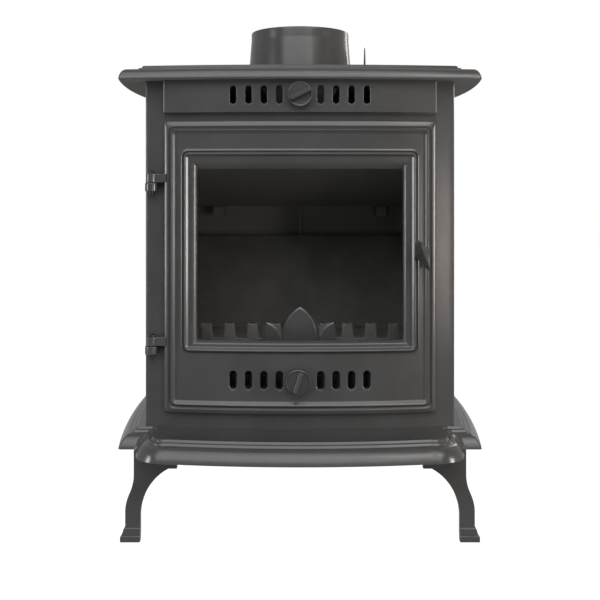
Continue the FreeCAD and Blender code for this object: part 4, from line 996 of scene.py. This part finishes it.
class STOVE_OT_log_fence(bpy.types.Operator):
    """Models the log fence: a row of hollow-tipped teeth and three petals in front of it."""

    bl_idname = "stove.log_fence"
    bl_label = "Log fence"

    def upright(self, name, points, rear, front, shoulder, depth):
        """A flat plate whose front edge slopes back in a shoulder of a width and a depth."""
        rings = [(points, rear), (points, front + depth), (drawn_in(points, shoulder), front)]
        return skin(name, [[(x, y, z) for x, z in ring] for ring, y in rings])

    def execute(self, context):
        hollow = sizes().tooth_hollow / MM
        line = [(FENCE_HALF, FENCE_FOOT), (FENCE_HALF, FENCE_BAR_TOP)]
        for x in TOOTH_PLACES:
            line += [(x + 9.0, FENCE_BAR_TOP), (x + 6.4, TOOTH_TOP)]
            line += [(x + 6.4 - 1.6 * step, TOOTH_TOP - hollow * sin(pi * step / 8) ** 0.8)
                     for step in range(1, 8)]
            line += [(x - 6.4, TOOTH_TOP), (x - 9.0, FENCE_BAR_TOP)]
        line += [(-x, z) for x, z in reversed(line)]
        fence = self.upright("log_fence_cast", line, FENCE_BACK, FENCE_FACE, 1.3, 0.8)
        petal = arc((20.5, 235), (23.4, 253), 60, False, 4) + arc((23.4, 253), (0, 293), 46, False, 14)
        petal += [(0, 293)] + [(-x, z) for x, z in reversed(petal)]
        middle = self.upright("petal", petal, PETAL_BACK, PETAL_FACE, 2.2, 1.2)
        leaf = [(28, 240), (49.6, 240)] + arc((50.3, 251), (46.2, 272), 46, False, 8)
        leaf += arc((46.2, 272), (26.6, 250), 25, False, 12)
        right = self.upright("leaf", leaf, PETAL_BACK, PETAL_FACE, 2.0, 1.1)
        left = mirrored(right, "leaf left", 0)
        for obj in (middle, right, left):
            carve(fence, obj, "UNION")
        dress(fence, "stove", ["log_fence"], "firebox_iron", 20)
        second_finish(fence, "stove_iron", lambda face: face.center.y < (FENCE_FACE - 0.1) * MM)
        return {"FINISHED"}


class STOVE_OT_finishes(bpy.types.Operator):
    """Gives each carried-over CAD node the finish of its slot."""

    bl_idname = "stove.finishes"
    bl_label = "Finishes"

    def execute(self, context):
        for name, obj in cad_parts.items():
            slot = obj.data.materials[0].name.split(".")[0]
            if slot not in FINISHES:
                raise RuntimeError("no finish for " + name)
            obj.data.materials[0] = finish(slot)
        return {"FINISHED"}


class STOVE_OT_stage(bpy.types.Operator):
    """Sets the plain pale floor, the soft studio light and the camera."""

    bl_idname = "stove.stage"
    bl_label = "Stage"

    def lamp(self, name, place, target, width, height, watts, tint="#ffffff"):
        bpy.ops.object.select_all(action="DESELECT")
        bpy.ops.object.light_add(type="AREA", location=place)
        lamp = bpy.context.object
        lamp.name = name
        lamp.data.shape = "RECTANGLE"
        lamp.data.size = width
        lamp.data.size_y = height
        lamp.data.energy = watts
        lamp.data.color = linear(tint)[:3]
        lamp.rotation_euler = (Vector(target) - Vector(place)).to_track_quat("-Z", "Y").to_euler()

    def seen_white(self, tree, place, near, far):
        """How white the surround is: full seen straight or through glass, graded by depth in a sheen."""
        axes = add(tree, "SeparateXYZ", {}, Vector=place)
        room = add(tree, "MapRange", {"From Min": near, "From Max": far, "To Min": ROOM_DIM_SHARE,
                                      "To Max": ROOM_PALE_SHARE}, Value=axes.outputs["Y"])
        seen = add(tree, "LightPath", {})
        direct = add(tree, "Math", {"operation": "MAXIMUM", 0: seen.outputs["Is Camera Ray"],
                                    1: seen.outputs["Is Transmission Ray"]})
        sheen = add(tree, "Math", {"operation": "MULTIPLY", 0: seen.outputs["Is Glossy Ray"],
                                   1: room.outputs["Result"]})
        either = add(tree, "Math", {"operation": "MAXIMUM", 0: direct.outputs["Value"],
                                    1: sheen.outputs["Value"]})
        return either.outputs["Value"]

    def floor(self, context):
        bpy.ops.object.select_all(action="DESELECT")
        bpy.ops.mesh.primitive_plane_add(size=14)
        floor = context.object
        floor.name = "floor"
        material, tree = new_finish("plain_white_floor")
        # A matt white sheet: it keeps a faint shadow and melts into the white behind it. The room's floor in
        # front, which only sheen shows, is dim.
        where = add(tree, "TexCoord", {})
        white = self.seen_white(tree, where.outputs["Object"], -1.1, 0.1)
        share = add(tree, "Math", {"operation": "MULTIPLY", 0: white, 1: 0.99})
        paper = add(tree, "BsdfDiffuse", {"Color": colours().floor_paper})
        glow = add(tree, "Emission", {"Color": colours().floor}, Strength=share.outputs["Value"])
        both = add(tree, "AddShader", {0: paper.outputs["BSDF"], 1: glow.outputs["Emission"]})
        add(tree, "OutputMaterial", {}, Surface=both.outputs["Shader"])
        floor.data.materials.append(material)

    def backdrop(self, context):
        world = bpy.data.worlds.new("studio")
        context.scene.world = world
        world.use_nodes = True
        sky = world.node_tree
        sky.nodes.clear()
        # The white backdrop stands behind the stove; the room in front, which only sheen shows, is dim.
        where = add(sky, "TexCoord", {})
        white = self.seen_white(sky, where.outputs["Generated"], -0.25, 0.25)
        level = add(sky, "MapRange", {"To Min": 0.03, "To Max": 1.0}, Value=white)
        air = add(sky, "Background", {"Color": colours().floor}, Strength=level.outputs["Result"])
        add(sky, "OutputWorld", {}, Surface=air.outputs["Background"])

    def execute(self, context):
        self.floor(context)
        self.backdrop(context)
        aim = (0.0, 0.0, 0.36)
        self.lamp("left softbox", (-1.85, -0.85, 0.5), aim, 0.3, 0.9, 20)
        self.lamp("right softbox", (1.85, -0.85, 0.4), aim, 0.3, 0.7, 26, "#fffaf6")
        self.lamp("key softbox", (-0.2, -2.0, 1.72), aim, 3.0, 1.2, 42)
        self.lamp("top softbox", (-0.2, -1.2, 2.25), aim, 2.0, 0.9, 15)
        self.lamp("right front softbox", (1.0, -1.5, 1.7), aim, 0.8, 0.8, 8, "#fff6f0")
        self.lamp("right low softbox", (1.1, -1.95, 0.25), aim, 0.2, 0.5, 4, "#fff0e6")
        self.lamp("right rim light", (1.3, 1.6, 1.2), (0.0, 0.05, 0.6), 0.3, 1.0, 6, "#fff6f0")

        bpy.ops.object.camera_add(location=(0.0, -1.333, 0.467))
        camera = context.object
        camera.name = "camera"
        camera.rotation_euler = (radians(90), 0.0, 0.0)
        camera.data.lens = 54.66
        camera.data.sensor_width = 36.0
        camera.data.shift_y = -0.2
        context.scene.camera = camera
        context.scene.view_settings.view_transform = "Standard"
        return {"FINISHED"}


PIECES = (STOVE_OT_finishes, STOVE_OT_hearth_plate, STOVE_OT_top_plate, STOVE_OT_legs, STOVE_OT_front_frame,
          STOVE_OT_vent_panel, STOVE_OT_door, STOVE_OT_knobs, STOVE_OT_handle, STOVE_OT_hinge_pins,
          STOVE_OT_flue_collar, STOVE_OT_damper_lever, STOVE_OT_side_plates, STOVE_OT_back_plate,
          STOVE_OT_log_fence, STOVE_OT_stage)


class STOVE_PT_panel(bpy.types.Panel):
    """Lists the stove's pieces, sizes and colours."""

    bl_idname = "STOVE_PT_panel"
    bl_label = "Cast iron stove"
    bl_space_type = "VIEW_3D"
    bl_region_type = "UI"
    bl_category = "Stove"

    def draw(self, context):
        layout = self.layout
        for group in (sizes(), colours()):
            column = layout.column(align=True)
            for key in group.__annotations__:
                column.prop(group, key)
        column = layout.column(align=True)
        for piece in PIECES:
            column.operator(piece.bl_idname)


CLASSES = (StoveSizes, StoveColours) + PIECES + (STOVE_PT_panel,)


def register():
    for item in CLASSES:
        bpy.utils.register_class(item)
    bpy.types.Scene.stove_sizes = bpy.props.PointerProperty(type=StoveSizes)
    bpy.types.Scene.stove_colours = bpy.props.PointerProperty(type=StoveColours)


def unregister():
    del bpy.types.Scene.stove_colours
    del bpy.types.Scene.stove_sizes
    for item in reversed(CLASSES):
        bpy.utils.unregister_class(item)


def main():
    register()
    for piece in PIECES:
        group, name = piece.bl_idname.split(".")
        getattr(getattr(bpy.ops, group), name)()


if __name__ == "__main__":
    main()
